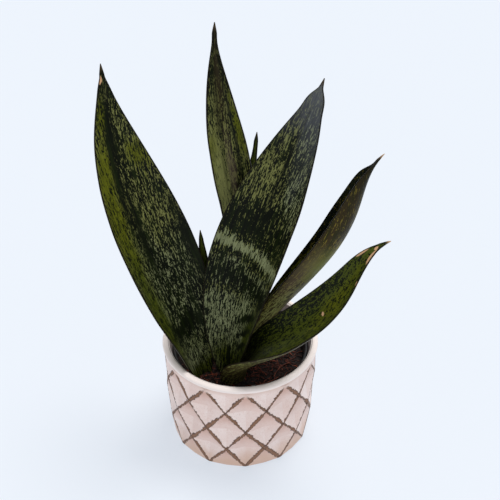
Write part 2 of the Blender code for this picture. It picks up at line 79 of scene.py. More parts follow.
@dataclass(frozen=True)
class Signal:
    """A node's output that plain formulas can be written with."""

    wiring: "Wiring"
    socket: bpy.types.NodeSocket

    def __add__(self, other: "Value") -> "Signal":
        """The sum with another value."""
        return self.wiring.math("ADD", self, other)

    def __radd__(self, other: "Value") -> "Signal":
        """The sum with a value on the left."""
        return self.wiring.math("ADD", other, self)

    def __sub__(self, other: "Value") -> "Signal":
        """The difference with another value."""
        return self.wiring.math("SUBTRACT", self, other)

    def __rsub__(self, other: "Value") -> "Signal":
        """The difference with a value on the left."""
        return self.wiring.math("SUBTRACT", other, self)

    def __mul__(self, other: "Value") -> "Signal":
        """The product with another value."""
        return self.wiring.math("MULTIPLY", self, other)

    def __rmul__(self, other: "Value") -> "Signal":
        """The product with a value on the left."""
        return self.wiring.math("MULTIPLY", other, self)

    def __truediv__(self, other: "Value") -> "Signal":
        """The quotient with another value."""
        return self.wiring.math("DIVIDE", self, other)

    def __rtruediv__(self, other: "Value") -> "Signal":
        """The quotient with a value on the left."""
        return self.wiring.math("DIVIDE", other, self)

    def __pow__(self, other: "Value") -> "Signal":
        """The power with another value."""
        return self.wiring.math("POWER", self, other)

    def __abs__(self) -> "Signal":
        """The value without its sign."""
        return self.wiring.math("ABSOLUTE", self)


Value = Signal | bpy.types.NodeSocket | bpy.types.Material | Number | str | tuple


class Wiring:
    """Places nodes in one node tree and joins them."""

    COLUMNS = 12

    def __init__(self, tree: bpy.types.NodeTree) -> None:
        """Start wiring this tree."""
        self.tree = tree
        self.placed = 0

    def place(self, kind: str, **settings) -> bpy.types.Node:
        """Add a node and set its options.

        Args:
            kind: The node's type name.
            settings: Options of the node, by attribute name.

        Returns:
            The new node.
        """
        node = self.tree.nodes.new(kind)
        node.location = (190 * (self.placed % self.COLUMNS), -230 * (self.placed // self.COLUMNS))
        self.placed += 1
        for name, value in settings.items():
            setattr(node, name, value)
        return node

    def feed(self, socket: bpy.types.NodeSocket, value: Value) -> None:
        """Join a socket to an output, or set its own value.

        Args:
            socket: The input to feed.
            value: A signal, an output socket, or a plain value.
        """
        value = value.socket if isinstance(value, Signal) else value
        if isinstance(value, bpy.types.NodeSocket):
            self.tree.links.new(value, socket)
        else:
            socket.default_value = value

    @staticmethod
    def pick(sockets: Sequence[bpy.types.NodeSocket], name: str | int) -> bpy.types.NodeSocket:
        """The socket of this number, or the one of this name that is in use."""
        if isinstance(name, int):
            return sockets[name]
        return next(socket for socket in sockets if socket.name == name and socket.enabled)

    def made(self, kind: str, feeds: dict[str | int, Value], output: str | int = 0,
             **settings) -> Signal:
        """Add a node, feed its inputs and take one output.

        Args:
            kind: The node's type name.
            feeds: What goes into its inputs, by name or number.
            output: The output's name or number.
            settings: Options of the node, by attribute name.

        Returns:
            The output.
        """
        node = self.place(kind, **settings)
        for name, value in feeds.items():
            self.feed(self.pick(node.inputs, name), value)
        return Signal(self, self.pick(node.outputs, output))

    def math(self, operation: str, *values: Value) -> Signal:
        """One Math node.

        Args:
            operation: The operation's name.
            values: Its operands.

        Returns:
            The result.
        """
        return self.made("ShaderNodeMath", dict(enumerate(values)), operation=operation)

    def root(self, value: Value) -> Signal:
        """The square root."""
        return self.math("SQRT", value)

    def rise(self, value: Value, low: Value, high: Value, start: Value = 0.0,
             end: Value = 1.0) -> Signal:
        """A smooth step from start to end as value goes from low to high.

        Args:
            value: What is read.
            low: Where the step begins.
            high: Where it ends.
            start: The result below low.
            end: The result above high.

        Returns:
            The result.
        """
        limits = {"Value": value, "From Min": low, "From Max": high, "To Min": start, "To Max": end}
        return self.made("ShaderNodeMapRange", limits, "Result", interpolation_type="SMOOTHSTEP")

    def blend(self, share: Value, first: Value, second: Value) -> Signal:
        """Mix two colours.

        Args:
            share: How much of the second.
            first: The first colour.
            second: The second colour.

        Returns:
            The mixed colour.
        """
        return self.made("ShaderNodeMix", {"Factor": share, "A": first, "B": second}, "Result",
                         data_type="RGBA")

    def vector_math(self, operation: str, *values: Value) -> Signal:
        """One Vector Math node.

        Args:
            operation: The operation's name.
            values: Its operands.

        Returns:
            The result.
        """
        return self.made("ShaderNodeVectorMath", dict(enumerate(values)), operation=operation)

    def scaled(self, vector: Value, factors: tuple[float, float, float]) -> Signal:
        """A vector times a factor for each axis."""
        return self.vector_math("MULTIPLY", vector, factors)

    def shifted(self, vector: Value, offset: tuple[float, float, float]) -> Signal:
        """A vector plus an offset."""
        return self.vector_math("ADD", vector, offset)

    def grain(self, vector: Value, scale: Value, detail: Number = 2.0,
              roughness: Number = 0.55) -> Signal:
        """Cloudy noise, about 0 to 1.

        Args:
            vector: Where it is read.
            scale: Its frequency.
            detail: Its octaves.
            roughness: How strong the fine octaves are.

        Returns:
            The noise.
        """
        return self.made("ShaderNodeTexNoise", {"Vector": vector, "Scale": scale, "Detail": detail,
                                                "Roughness": roughness}, "Fac")

    def cells(self, vector: Value, scale: Value) -> Signal:
        """Random cells.

        Args:
            vector: Where they are read.
            scale: Their frequency.

        Returns:
            The distance from the cells' middles.
        """
        return self.made("ShaderNodeTexVoronoi", {"Vector": vector, "Scale": scale}, "Distance")

    def split(self, vector: Value) -> tuple[Signal, ...]:
        """Take a vector apart.

        Args:
            vector: The vector.

        Returns:
            Its three parts.
        """
        node = self.place("ShaderNodeSeparateXYZ")
        self.feed(node.inputs[0], vector)
        return tuple(Signal(self, socket) for socket in node.outputs)

    def joined(self, *parts: Value) -> Signal:
        """Put a vector together.

        Args:
            parts: Its three parts.

        Returns:
            The vector.
        """
        return self.made("ShaderNodeCombineXYZ", dict(enumerate(parts)))

    def stored(self, name: str, output: str = "Vector") -> Signal:
        """A value stored on the mesh under this name."""
        return self.made("ShaderNodeAttribute", {}, output, attribute_name=name)

    def object_place(self) -> Signal:
        """The point's place in its object, in metres."""
        return self.made("ShaderNodeTexCoord", {}, "Object")

    def position(self) -> Signal:
        """The point's place, in a geometry node tree."""
        return self.made("GeometryNodeInputPosition", {})

    def random_value(self, low: Value, high: Value, seed: int, kind: str = "FLOAT") -> Signal:
        """A random value for each instance.

        Args:
            low: Its lower limit.
            high: Its upper limit.
            seed: Its seed.
            kind: One number or a vector.

        Returns:
            The value.
        """
        return self.made("FunctionNodeRandomValue", {"Min": low, "Max": high, "Seed": seed},
                         "Value", data_type=kind)

    def realized(self, geometry: Value, material: Value) -> Signal:
        """The geometry with its instances made real, in one material."""
        real = self.made("GeometryNodeRealizeInstances", {0: geometry})
        return self.made("GeometryNodeSetMaterial", {"Geometry": real, "Material": material})

    def group(self, tree: bpy.types.NodeTree, **values: Value) -> dict[str, Signal]:
        """Place a node group and feed its inputs.

        Args:
            tree: The group.
            values: Its inputs by name, with _ for a space.

        Returns:
            Its outputs by name.
        """
        node = self.place("ShaderNodeGroup", node_tree=tree)
        for name, value in values.items():
            self.feed(node.inputs[name.replace("_", " ")], value)
        return {socket.name: Signal(self, socket) for socket in node.outputs}

    def bump(self, height: Value, distance: Number, strength: Number) -> Signal:
        """A bumped normal.

        Args:
            height: The surface's height.
            distance: What a height of 1 stands for, in metres.
            strength: How much of the bump is kept.

        Returns:
            The normal.
        """
        return self.made("ShaderNodeBump", {"Height": height, "Distance": distance,
                                            "Strength": strength}, "Normal")


def new_group(name: str, inputs: dict, outputs: dict,
              kind: str = "ShaderNodeTree") -> tuple[Wiring, dict[str, Signal], bpy.types.Node]:
    """Start a node group with named inputs and outputs.

    Args:
        name: The group's name.
        inputs: Socket kind and default by input name.
        outputs: Socket kind by output name.
        kind: Shader or geometry node tree.

    Returns:
        Its wiring, its inputs by name and its output node.
    """
    tree = bpy.data.node_groups.new(name, kind)
    for label, (socket_kind, default) in inputs.items():
        socket = tree.interface.new_socket(label, in_out="INPUT", socket_type=socket_kind)
        if default is not None:
            socket.default_value = default
    for label, socket_kind in outputs.items():
        tree.interface.new_socket(label, in_out="OUTPUT", socket_type=socket_kind)
    wiring = Wiring(tree)
    entry = wiring.place("NodeGroupInput")
    given = {socket.name: Signal(wiring, socket) for socket in entry.outputs if socket.name}
    return wiring, given, wiring.place("NodeGroupOutput")


FLOAT = "NodeSocketFloat"
VECTOR = "NodeSocketVector"
COLOUR = "NodeSocketColor"


class Effects:
    """The node groups that several finishes share, each built once."""

    CLOUD_REACH = 1.5
    FLECK_LIMIT = 0.635
    FLECK_SPAN = 0.2

    def __init__(self) -> None:
        """Build every shared effect."""
        self.patch = self.soft_patch()
        self.flecks = self.long_flecks()
        self.mottle = self.colour_mottle()
        self.pits = self.surface_pits()

    @staticmethod
    def soft_patch() -> bpy.types.NodeTree:
        """An oval zone of a blade with a ragged, streaky edge.

        Returns:
            The group: 1 inside the zone, 0 outside.
        """
        wiring, given, leave = new_group(
            "soft_patch",
            {"Share": (VECTOR, None), "Streak": (FLOAT, 0.5), "Cloud": (FLOAT, 0.5),
             "Across": (FLOAT, 0.0), "Along": (FLOAT, 0.5), "Across Reach": (FLOAT, 0.5),
             "Along Reach": (FLOAT, 0.2), "Slant": (FLOAT, 0.0), "Ragged": (FLOAT, 0.02),
             "Softness": (FLOAT, 0.35)},
            {"Amount": FLOAT})
        across, along, _ = wiring.split(given["Share"])
        side = across - given["Across"]
        lean = side * given["Slant"]
        ragged = (given["Streak"] - 0.5) * given["Ragged"]
        rise = along - given["Along"] + lean + ragged
        wide = abs(side / given["Across Reach"]) ** 2.0
        tall = abs(rise / given["Along Reach"]) ** 2.0
        far = wiring.root(wide + tall)
        cloud = given["Cloud"] - 0.5
        far = far + cloud * Effects.CLOUD_REACH
        low = 1.0 - given["Softness"]
        high = 1.0 + given["Softness"]
        wiring.feed(leave.inputs["Amount"], wiring.rise(far, low, high, 1.0, 0.0))
        return wiring.tree

    @staticmethod
    def long_flecks() -> bpy.types.NodeTree:
        """Thin flecks that run along a blade, thicker where the coverage is higher.

        Returns:
            The group: 1 on a fleck, 0 between.
        """
        wiring, given, leave = new_group(
            "long_flecks",
            {"Place": (VECTOR, None), "Coverage": (FLOAT, 0.5), "Across Scale": (FLOAT, 900.0),
             "Along Scale": (FLOAT, 150.0), "Softness": (FLOAT, 0.016)},
            {"Amount": FLOAT})
        across, along, face = wiring.split(given["Place"])
        coarse = wiring.joined(across * given["Across Scale"], along * given["Along Scale"], face)
        strand = wiring.grain(coarse, 1.0, 2.5, 0.6)
        speck = wiring.grain(wiring.scaled(coarse, (2.0, 3.2, 1.0)), 1.0, 2.0, 0.6)
        value = strand * 0.55 + speck * 0.45
        limit = Effects.FLECK_LIMIT - given["Coverage"] * Effects.FLECK_SPAN
        low = limit - given["Softness"]
        high = limit + given["Softness"]
        wiring.feed(leave.inputs["Amount"], wiring.rise(value, low, high))
        return wiring.tree

    @staticmethod
    def colour_mottle() -> bpy.types.NodeTree:
        """Cloudy change of one colour into another, at a coarse and a fine scale.

        Returns:
            The group: the mottled colour and its mask.
        """
        wiring, given, leave = new_group(
            "colour_mottle",
            {"Place": (VECTOR, None), "Base": (COLOUR, None), "Change": (COLOUR, None),
             "Scale": (FLOAT, 60.0), "Amount": (FLOAT, 0.5)},
            {"Colour": COLOUR, "Mask": FLOAT})
        broad = wiring.grain(given["Place"], given["Scale"], 3.0, 0.6)
        fine = wiring.grain(given["Place"], given["Scale"] * 9.0, 2.0, 0.6)
        value = broad * 0.7 + fine * 0.3
        mask = wiring.rise(value, 0.38, 0.64) * given["Amount"]
        wiring.feed(leave.inputs["Colour"],
                    wiring.blend(mask, given["Base"], given["Change"]))
        wiring.feed(leave.inputs["Mask"], mask)
        return wiring.tree

    @staticmethod
    def surface_pits() -> bpy.types.NodeTree:
        """Small lumps and pits for a bump.

        Returns:
            The group: a height from 0 to 1.
        """
        wiring, given, leave = new_group(
            "surface_pits", {"Place": (VECTOR, None), "Scale": (FLOAT, 900.0)}, {"Height": FLOAT})
        lumps = wiring.grain(given["Place"], given["Scale"], 4.0, 0.6)
        pits = wiring.cells(given["Place"], given["Scale"] * 0.8)
        wiring.feed(leave.inputs["Height"], lumps * 0.7 + pits * 0.3)
        return wiring.tree


@dataclass(frozen=True)
class ShaderSettings:
    """Values that are the same all over one finish, set on the shader itself."""

    specular: float = 0.5
    coat: float = 0.0
    coat_roughness: float = 0.1


def new_material(name: str, settings: ShaderSettings) -> tuple[bpy.types.Material, Wiring, bpy.types.Node]:
    """A material with one Principled shader.

    Args:
        name: The material's name.
        settings: The shader's constant values.

    Returns:
        The material, its wiring and its shader node.
    """
    material = bpy.data.materials.new(name)
    material.use_nodes = True
    wiring = Wiring(material.node_tree)
    shader = material.node_tree.nodes["Principled BSDF"]
    shader.inputs["Specular IOR Level"].default_value = settings.specular
    shader.inputs["Coat Weight"].default_value = settings.coat
    shader.inputs["Coat Roughness"].default_value = settings.coat_roughness
    return material, wiring, shader


# ---------------------------------------------------------------- mesh helpers


def lofted_mesh(name: str, rings: Sequence[np.ndarray], start: Vector | None = None,
                end: Vector | None = None) -> bpy.types.Mesh:
    """A closed skin over rings of equal count.

    Args:
        name: The mesh's name.
        rings: One array of points for each ring.
        start: A pole that closes the first ring; a flat face closes it otherwise.
        end: The same for the last ring.

    Returns:
        The mesh.
    """
    count = len(rings[0])
    points = [tuple(point) for ring in rings for point in ring]
    faces = []
    for row in range(len(rings) - 1):
        for i in range(count):
            j = (i + 1) % count
            faces.append((row * count + i, row * count + j, (row + 1) * count + j, (row + 1) * count + i))
    last = (len(rings) - 1) * count
    if start is None:
        faces.append(tuple(range(count))[::-1])
    else:
        points.append(tuple(start))
        pole = len(points) - 1
        faces += [((i + 1) % count, i, pole) for i in range(count)]
    if end is None:
        faces.append(tuple(range(last, last + count)))
    else:
        points.append(tuple(end))
        pole = len(points) - 1
        faces += [(last + i, last + (i + 1) % count, pole) for i in range(count)]
    mesh = bpy.data.meshes.new(name)
    mesh.from_pydata(points, [], faces)
    return mesh


def settle_normals(mesh: bpy.types.Mesh, smooth: bool = True) -> None:
    """Point all faces of a closed mesh outwards.

    Args:
        mesh: The mesh.
        smooth: Whether it is shaded smooth.
    """
    build = bmesh.new()
    build.from_mesh(mesh)
    bmesh.ops.recalc_face_normals(build, faces=build.faces)
    build.to_mesh(mesh)
    build.free()
    if smooth:
        mesh.shade_smooth()


def place_piece(name: str, mesh: bpy.types.Mesh, material: bpy.types.Material, slot: str,
                *nodes: str) -> bpy.types.Object:
    """Put a finished mesh in the scene as a piece of the object.

    Args:
        name: The piece's name.
        mesh: Its mesh, in place.
        material: Its finish.
        slot: The material slot it belongs to; not used.
        nodes: The plain solids it stands for.

    Returns:
        The piece.
    """
    mesh.name = name
    mesh.materials.clear()
    mesh.materials.append(material)
    mesh.polygons.foreach_set("material_index", [0] * len(mesh.polygons))
    piece = bpy.data.objects.new(name, mesh)
    bpy.context.scene.collection.objects.link(piece)
    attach(piece, BODY)
    if nodes:
        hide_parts(*nodes)
    LOG.info("%s: %d faces", name, len(mesh.polygons))
    return piece


def turned_rings(profile: Sequence[tuple[float, float]], sides: int) -> list[np.ndarray]:
    """Rings of points for a turned shape.

    Args:
        profile: Radius and height of each ring.
        sides: Points round each ring.

    Returns:
        One array of points for each ring.
    """
    angles = np.arange(sides) * math.tau / sides
    rings = []
    for radius, height in profile:
        rings.append(np.stack([radius * np.sin(angles), -radius * np.cos(angles),
                               np.full(sides, height)], axis=1))
    return rings


def baked(obj: bpy.types.Object) -> bpy.types.Mesh:
    """The evaluated mesh of an object, which is then removed.

    Args:
        obj: The object with its modifiers.

    Returns:
        A plain mesh.
    """
    graph = bpy.context.evaluated_depsgraph_get()
    mesh = bpy.data.meshes.new_from_object(obj.evaluated_get(graph))
    bpy.data.objects.remove(obj, do_unlink=True)
    return mesh


# ---------------------------------------------------------------- sizes


@dataclass(frozen=True)
class Sizes:
    """The object's driving sizes, in metres, as the frame was built."""

    pot_height: float = 0.098
    rim_radius: float = 0.0672
    rim_bead_height: float = 0.0052
    mouth_radius: float = 0.061
    groove_in: float = 0.0013
    band_radius: float = 0.0653
    throat_depth: float = 0.012
    throat_step: float = 0.0018
    pot_wall: float = 0.0045
    pot_floor: float = 0.006
    foot_radius: float = 0.0592
    inner_fillet: float = 0.008
    relief_top_drop: float = 0.0062
    relief_foot_rise: float = 0.0016
    crossing_top: float = 0.0664
    crossing_foot: float = 0.0622
    taper_power: float = 2.5
    dimple_depth: float = 0.0048
    relief_rows: int = 4
    relief_columns: int = 24
    pattern_turn: float = math.radians(3.8)
    liner_drop: float = 0.0095
    liner_wall: float = 0.0011
    liner_taper: float = 0.010
    liner_lip_width: float = 0.0010
    liner_lip_height: float = 0.003
    liner_side_play: float = 0.0006
    drain_holes: int = 6
    drain_hole_radius: float = 0.004
    drain_ring_share: float = 0.6
    soil_drop: float = 0.020
    soil_dome: float = 0.0015
    foot_depth: float = 0.004
    fit_gap: float = 0.0003

    @property
    def soil_top(self) -> float:
        """Height of the soil's middle."""
        return self.pot_height - self.soil_drop

    @property
    def leaf_foot(self) -> float:
        """Height of the plane that the leaves stand on."""
        return self.soil_top - self.foot_depth

    @property
    def throat_radius(self) -> float:
        """Radius of the cover pot's throat."""
        return self.mouth_radius - self.throat_step

    @property
    def liner_top_radius(self) -> float:
        """Outer radius of the nursery pot under its lip."""
        return self.throat_radius - self.liner_side_play - self.liner_lip_width

    @property
    def liner_floor(self) -> float:
        """Height of the nursery pot's underside."""
        return self.pot_floor + self.fit_gap

    @property
    def liner_lip(self) -> float:
        """Height of the nursery pot's lip."""
        return self.pot_height - self.liner_drop

    @property
    def relief_top(self) -> float:
        """Height of the first row of crossings."""
        return self.pot_height - self.relief_top_drop

    @property
    def row_height(self) -> float:
        """Height of one row of the relief."""
        return (self.relief_top - self.relief_foot_rise) / self.relief_rows

    def liner_radius(self, height: float) -> float:
        """Outer radius of the nursery pot's wall at this height."""
        share = (height - self.liner_floor) / (self.liner_lip - self.liner_floor)
        return self.liner_top_radius - self.liner_taper * (1 - share)

    def soil_radius(self, height: float) -> float:
        """Radius of the soil at this height."""
        return self.liner_radius(height) - self.liner_wall - self.fit_gap

    @property
    def bed_radius(self) -> float:
        """Radius of the soil's surface at its edge."""
        return self.soil_radius(self.soil_top - 2 * self.soil_dome)

    def inner_wall(self, height: float) -> float:
        """Radius of the cover pot's inner wall.

        Args:
            height: The height that is asked for.

        Returns:
            The radius there.
        """
        throat = self.pot_height - self.throat_depth
        if height >= throat:
            return self.throat_radius + self.throat_step * (height - throat) / self.throat_depth
        low = self.foot_radius - self.pot_wall - 0.0012
        share = max((height - self.pot_floor) / (throat - self.pot_floor), 0.0)
        return low + (self.throat_radius - low) * share


SIZES = Sizes()


# ---------------------------------------------------------------- cover pot


@dataclass(frozen=True)
class GlazeFinish:
    """Pale pink-cream glaze that breaks brown over the ridges, with painted shade on the diamonds' facets,
    under the rim bead and in the rim groove.
    """

    body: Colour = display(255, 236, 229)
    blush: Colour = display(246, 220, 210)
    # painted shade in the band under the rim bead
    bead_shade: Colour = display(236, 210, 198)
    foot: Colour = display(222, 184, 160)
    rim: Colour = display(255, 242, 235)
    # painted shade in the groove on the rim's top
    groove_shade: Colour = display(150, 140, 132)
    inside: Colour = display(196, 180, 176)
    # colour of the painted facet shade, also used for the glaze's random speckle
    shade_and_speckle: Colour = display(208, 164, 146)
    ridge: Colour = display(140, 101, 76)
    ridge_edge: Colour = display(80, 54, 40)
    line_half_width: float = 0.0015
    line_ragged: float = 0.0030
    line_softness: float = 0.00022
    line_edge: tuple[float, float] = (0.0009, 0.0004)

    def lines(self, wiring: Wiring, place: Signal, column: Signal,
              row: Signal) -> tuple[Signal, Signal]:
        """Masks of the brushed lines over the ridges.

        Args:
            wiring: The material's wiring.
            place: The point's place.
            column: Lattice column.
            row: Lattice row.

        Returns:
            The mask of the lines and the mask of their dark edges.
        """
        pitch = math.tau * SIZES.crossing_top / SIZES.relief_columns
        unit = pitch * SIZES.row_height / math.hypot(pitch, SIZES.row_height)
        ragged = wiring.grain(place, 420, 3, 0.65) * 0.7 + wiring.grain(place, 1500, 2, 0.6) * 0.3
        ragged = (ragged - 0.5) * (self.line_ragged * 2)
        lines = None
        edges = None
        for turn, offset in ((1.0, 0.0), (-1.0, 7.3)):
            diagonal = column + row * turn
            far = wiring.math("PINGPONG", diagonal, 1.0) * unit
            width = wiring.rise(wiring.grain(wiring.shifted(place, (offset, 0, 0)), 46, 1.5, 0.5),
                                0.36, 0.66, self.line_half_width * 0.55, self.line_half_width * 1.4)
            width = width * wiring.rise(row, 0.06, 0.2, 0.0, 1.0)
            reach = far + ragged - width
            line = wiring.rise(reach, -self.line_softness, self.line_softness, 1.0, 0.0)
            edge = line - wiring.rise(reach, -self.line_edge[0], -self.line_edge[1], 1.0, 0.0)
            lines = line if lines is None else wiring.math("MAXIMUM", lines, line)
            edges = edge if edges is None else wiring.math("MAXIMUM", edges, edge)
        return lines, edges

    @staticmethod
    def shaded_facets(wiring: Wiring, place: Signal, column: Signal, row: Signal) -> Signal:
        """Mask of painted shade on the upper half of each diamond, which faces down, with some of the
        thinner glaze's browner tint.

        Args:
            wiring: The material's wiring.
            place: The point's place.
            column: Lattice column.
            row: Lattice row.

        Returns:
            Most at the top corner, fading to the middle, and a little painted shade on the lower facets
            right of the upright crease, which face away from the light.
        """
        parts = []
        for operation in ("ADD", "SUBTRACT"):
            diagonal = wiring.math(operation, row, column)
            parts.append(wiring.math("FLOORED_MODULO", diagonal, 2.0) - 1.0)
        drop = (parts[0] + parts[1]) * 0.5
        blur = (wiring.grain(place, 240, 3) - 0.5) * 0.3
        aside = (parts[0] - parts[1]) * 0.5
        right = wiring.rise(aside, -0.01, 0.03, 0.0, 0.17)
        upper = wiring.rise(drop + blur, -0.9, -0.1, 1.0, 0.4)
        return wiring.rise(drop, -0.05, 0.03, upper, right)

    def material(self, effects: Effects) -> bpy.types.Material:
        """Build the glaze.

        Args:
            effects: The shared node groups.

        Returns:
            The material.
        """
        material, wiring, shader = new_material(
            "glazed_stoneware", ShaderSettings(specular=0.42, coat=0.12, coat_roughness=0.28))
        place = wiring.object_place()
        x, y, z = wiring.split(place)
        angle = wiring.math("ARCTAN2", x, y * -1.0)
        pitch = math.tau / SIZES.relief_columns
        column = (angle - SIZES.pattern_turn) / pitch
        row = (SIZES.relief_top - z) / SIZES.row_height
        radius = wiring.root(x * x + y * y)
        lines, edges = self.lines(wiring, place, column, row)
        mottle = wiring.group(effects.mottle, Place=place, Base=self.body, Change=self.blush,
                              Scale=38.0, Amount=0.75)
        colour = mottle["Colour"]
        # painted shade: darkens the diamonds' downward upper facets and the lower right facets
        shade = self.shaded_facets(wiring, place, column, row)
        facet_shade = shade * wiring.rise(z, SIZES.relief_top - 0.002, SIZES.relief_top, 1, 0)
        colour = wiring.blend(facet_shade * 0.95, colour, self.shade_and_speckle)
        speckle = wiring.rise(wiring.grain(place, 1100, 3, 0.6), 0.52, 0.70, 0.0, 0.34)
        colour = wiring.blend(speckle, colour, self.shade_and_speckle)
        low = row + wiring.grain(place, 60) * 0.8
        colour = wiring.blend(wiring.rise(low, 3.4, 4.3, 0.0, 0.85), colour, self.foot)
        outside = wiring.stored("outer_side", "Fac")
        below_rim = wiring.rise(z, SIZES.relief_top - 0.0003, SIZES.relief_top + 0.0005, 1.0, 0.0)
        above_foot = wiring.rise(z, 0.0009, 0.0017)
        shown = outside * below_rim * above_foot
        lines = lines * shown
        edges = edges * shown
        colour = wiring.blend(lines, colour, self.ridge)
        colour = wiring.blend(edges, colour, self.ridge_edge)
        band_top = SIZES.pot_height - SIZES.rim_bead_height
        # painted shade under the rim bead, from the relief's top up to the rim
        bead_shade = wiring.rise(z, SIZES.relief_top - 0.0050, SIZES.relief_top - 0.0005, 0.0, 0.9)
        colour = wiring.blend(bead_shade, colour, self.bead_shade)
        rim = wiring.rise(z, band_top - 0.0006, band_top + 0.0006)
        colour = wiring.blend(rim, colour, self.rim)
        colour = wiring.blend(1.0 - outside, colour, self.inside)
        # painted shade: a thin grey line along the groove on the rim's top
        ring = abs(radius - (SIZES.mouth_radius + SIZES.groove_in))
        groove_shade = wiring.rise(ring, 0.0001, 0.0004, 1.0, 0.0) * rim
        colour = wiring.blend(groove_shade * 0.9, colour, self.groove_shade)
        wiring.feed(shader.inputs["Base Color"], colour)
        smudge = wiring.grain(place, 150, 3, 0.6)
        rough = wiring.rise(smudge, 0.35, 0.65, 0.36, 0.5) + lines * 0.3
        wiring.feed(shader.inputs["Roughness"], rough)
        pits = wiring.group(effects.pits, Place=place, Scale=700.0)
        height = pits["Height"] * 0.35 - lines * 0.6
        wiring.feed(shader.inputs["Normal"], wiring.bump(height, 0.00025, 0.8))
        return material


@dataclass(frozen=True)
class CoverPot:
    """The turned ceramic pot with its ring of sunk diamonds."""

    sides: int = 480
    relief_steps: int = 128
    bead_steps: int = 26
    groove_depth: float = 0.00022
    groove_width: float = 0.0003
    foot_bevel: float = 0.0004
    finish: GlazeFinish = GlazeFinish()

    def profile(self) -> tuple[list[tuple[float, float]], int, int]:
        """The turned outline.

        Returns:
            Its points, and the first and last index of the relief.
        """
        fillet = SIZES.inner_fillet
        floor = SIZES.pot_floor
        points = [(radius, floor) for radius in (0.012, 0.028, 0.040)]
        middle = SIZES.inner_wall(floor + fillet) - fillet
        for i in range(9):
            angle = math.radians(-90 + 90 * i / 8)
            points.append((middle + fillet * math.cos(angle), floor + fillet * (1 + math.sin(angle))))
        throat = SIZES.pot_height - SIZES.throat_depth
        for i in range(1, 25):
            height = floor + fillet + (throat - floor - fillet) * i / 24
            points.append((SIZES.inner_wall(height), height))
        half = (SIZES.rim_radius - SIZES.mouth_radius) / 2
        for i in range(self.bead_steps + 1):
            angle = math.radians(180 - 225 * i / self.bead_steps)
            radius = SIZES.mouth_radius + half * (1 + math.cos(angle))
            height = SIZES.pot_height - SIZES.rim_bead_height / 2 * (1 - math.sin(angle))
            dip = math.exp(-((radius - SIZES.mouth_radius - SIZES.groove_in) / self.groove_width) ** 2)
            height -= self.groove_depth * dip if angle > 0 else 0.0
            points.append((radius, height))
        bead_foot = SIZES.pot_height - SIZES.rim_bead_height
        points.append((SIZES.band_radius, bead_foot - 0.0004))
        points.append((SIZES.band_radius, SIZES.relief_top + 0.0003))
        first = len(points)
        for i in range(self.relief_steps + 1):
            share = i / self.relief_steps
            height = SIZES.relief_top - (SIZES.relief_top - SIZES.relief_foot_rise) * share
            points.append((SIZES.crossing_top, height))
        last = len(points) - 1
        bevel = self.foot_bevel
        points += [(SIZES.foot_radius, SIZES.relief_foot_rise - bevel), (SIZES.foot_radius, bevel)]
        points += [(SIZES.foot_radius - bevel, 0.0), (0.045, 0.0), (0.022, 0.0)]
        return points, first, last

    def relief_tree(self) -> bpy.types.NodeTree:
        """The rule of the relief, as geometry nodes.

        Returns:
            The tree. It moves the points stored as relief to the diamonds' surface.
        """
        inputs = {"Geometry": ("NodeSocketGeometry", None), "Columns": (FLOAT, 24.0),
                  "Rows": (FLOAT, 4.0), "Top": (FLOAT, 0.09), "Row Height": (FLOAT, 0.02),
                  "Turn": (FLOAT, 0.0), "Radius Top": (FLOAT, 0.066), "Radius Foot": (FLOAT, 0.062),
                  "Taper Power": (FLOAT, 2.5), "Dimple Depth": (FLOAT, 0.005),
                  "Ridge Softness": (FLOAT, 0.06), "Hand Wobble": (FLOAT, 0.0003),
                  "Material": ("NodeSocketMaterial", None)}
        wiring, given, leave = new_group("diamond_relief", inputs, {"Geometry": "NodeSocketGeometry"},
                                         "GeometryNodeTree")
        place = wiring.position()
        x, y, z = wiring.split(place)
        angle = wiring.math("ARCTAN2", x, y * -1.0)
        pitch = math.tau / given["Columns"]
        column = (angle - given["Turn"]) / pitch
        row = (given["Top"] - z) / given["Row Height"]
        row = wiring.math("MAXIMUM", row, 0.0)
        soft = given["Ridge Softness"]
        slopes = []
        for operation in ("ADD", "SUBTRACT"):
            far = wiring.math("PINGPONG", wiring.math(operation, column, row), 1.0)
            round_far = wiring.root(far * far + soft * soft)
            slopes.append(round_far - soft)
        dimple = wiring.math("SMOOTH_MIN", slopes[0], slopes[1], 0.05)
        share = (row / given["Rows"]) ** given["Taper Power"]
        change = (given["Radius Foot"] - given["Radius Top"]) * share
        edge_top = wiring.rise(row, 0.0, 1.0, 0.5, 1.0)
        edge_low = wiring.rise(row, 3.1, 4.0, 1.0, 0.2)
        depth = dimple * given["Dimple Depth"] * (edge_top * edge_low)
        radius = given["Radius Top"] + change - depth
        part = wiring.math("FLOORED_MODULO", column, 1.0) - 0.5
        chord = wiring.math("COSINE", pitch * 0.5) / wiring.math("COSINE", pitch * part)
        radius = radius * chord
        wobble = wiring.grain(place, 55.0, 3.0) - 0.5
        radius = radius + wobble * given["Hand Wobble"]
        target = wiring.joined(wiring.math("SINE", angle) * radius,
                               wiring.math("COSINE", angle) * (radius * -1.0), z)
        marked = wiring.made("GeometryNodeInputNamedAttribute", {"Name": "relief"}, "Attribute",
                             data_type="FLOAT")
        chosen = wiring.made("FunctionNodeCompare", {"A": marked, "B": 0.5}, "Result",
                             data_type="FLOAT", operation="GREATER_THAN")
        moved = wiring.made("GeometryNodeSetPosition", {
            "Geometry": given["Geometry"], "Selection": chosen, "Position": target})
        wiring.feed(leave.inputs[0], wiring.realized(moved, given["Material"]))
        return wiring.tree

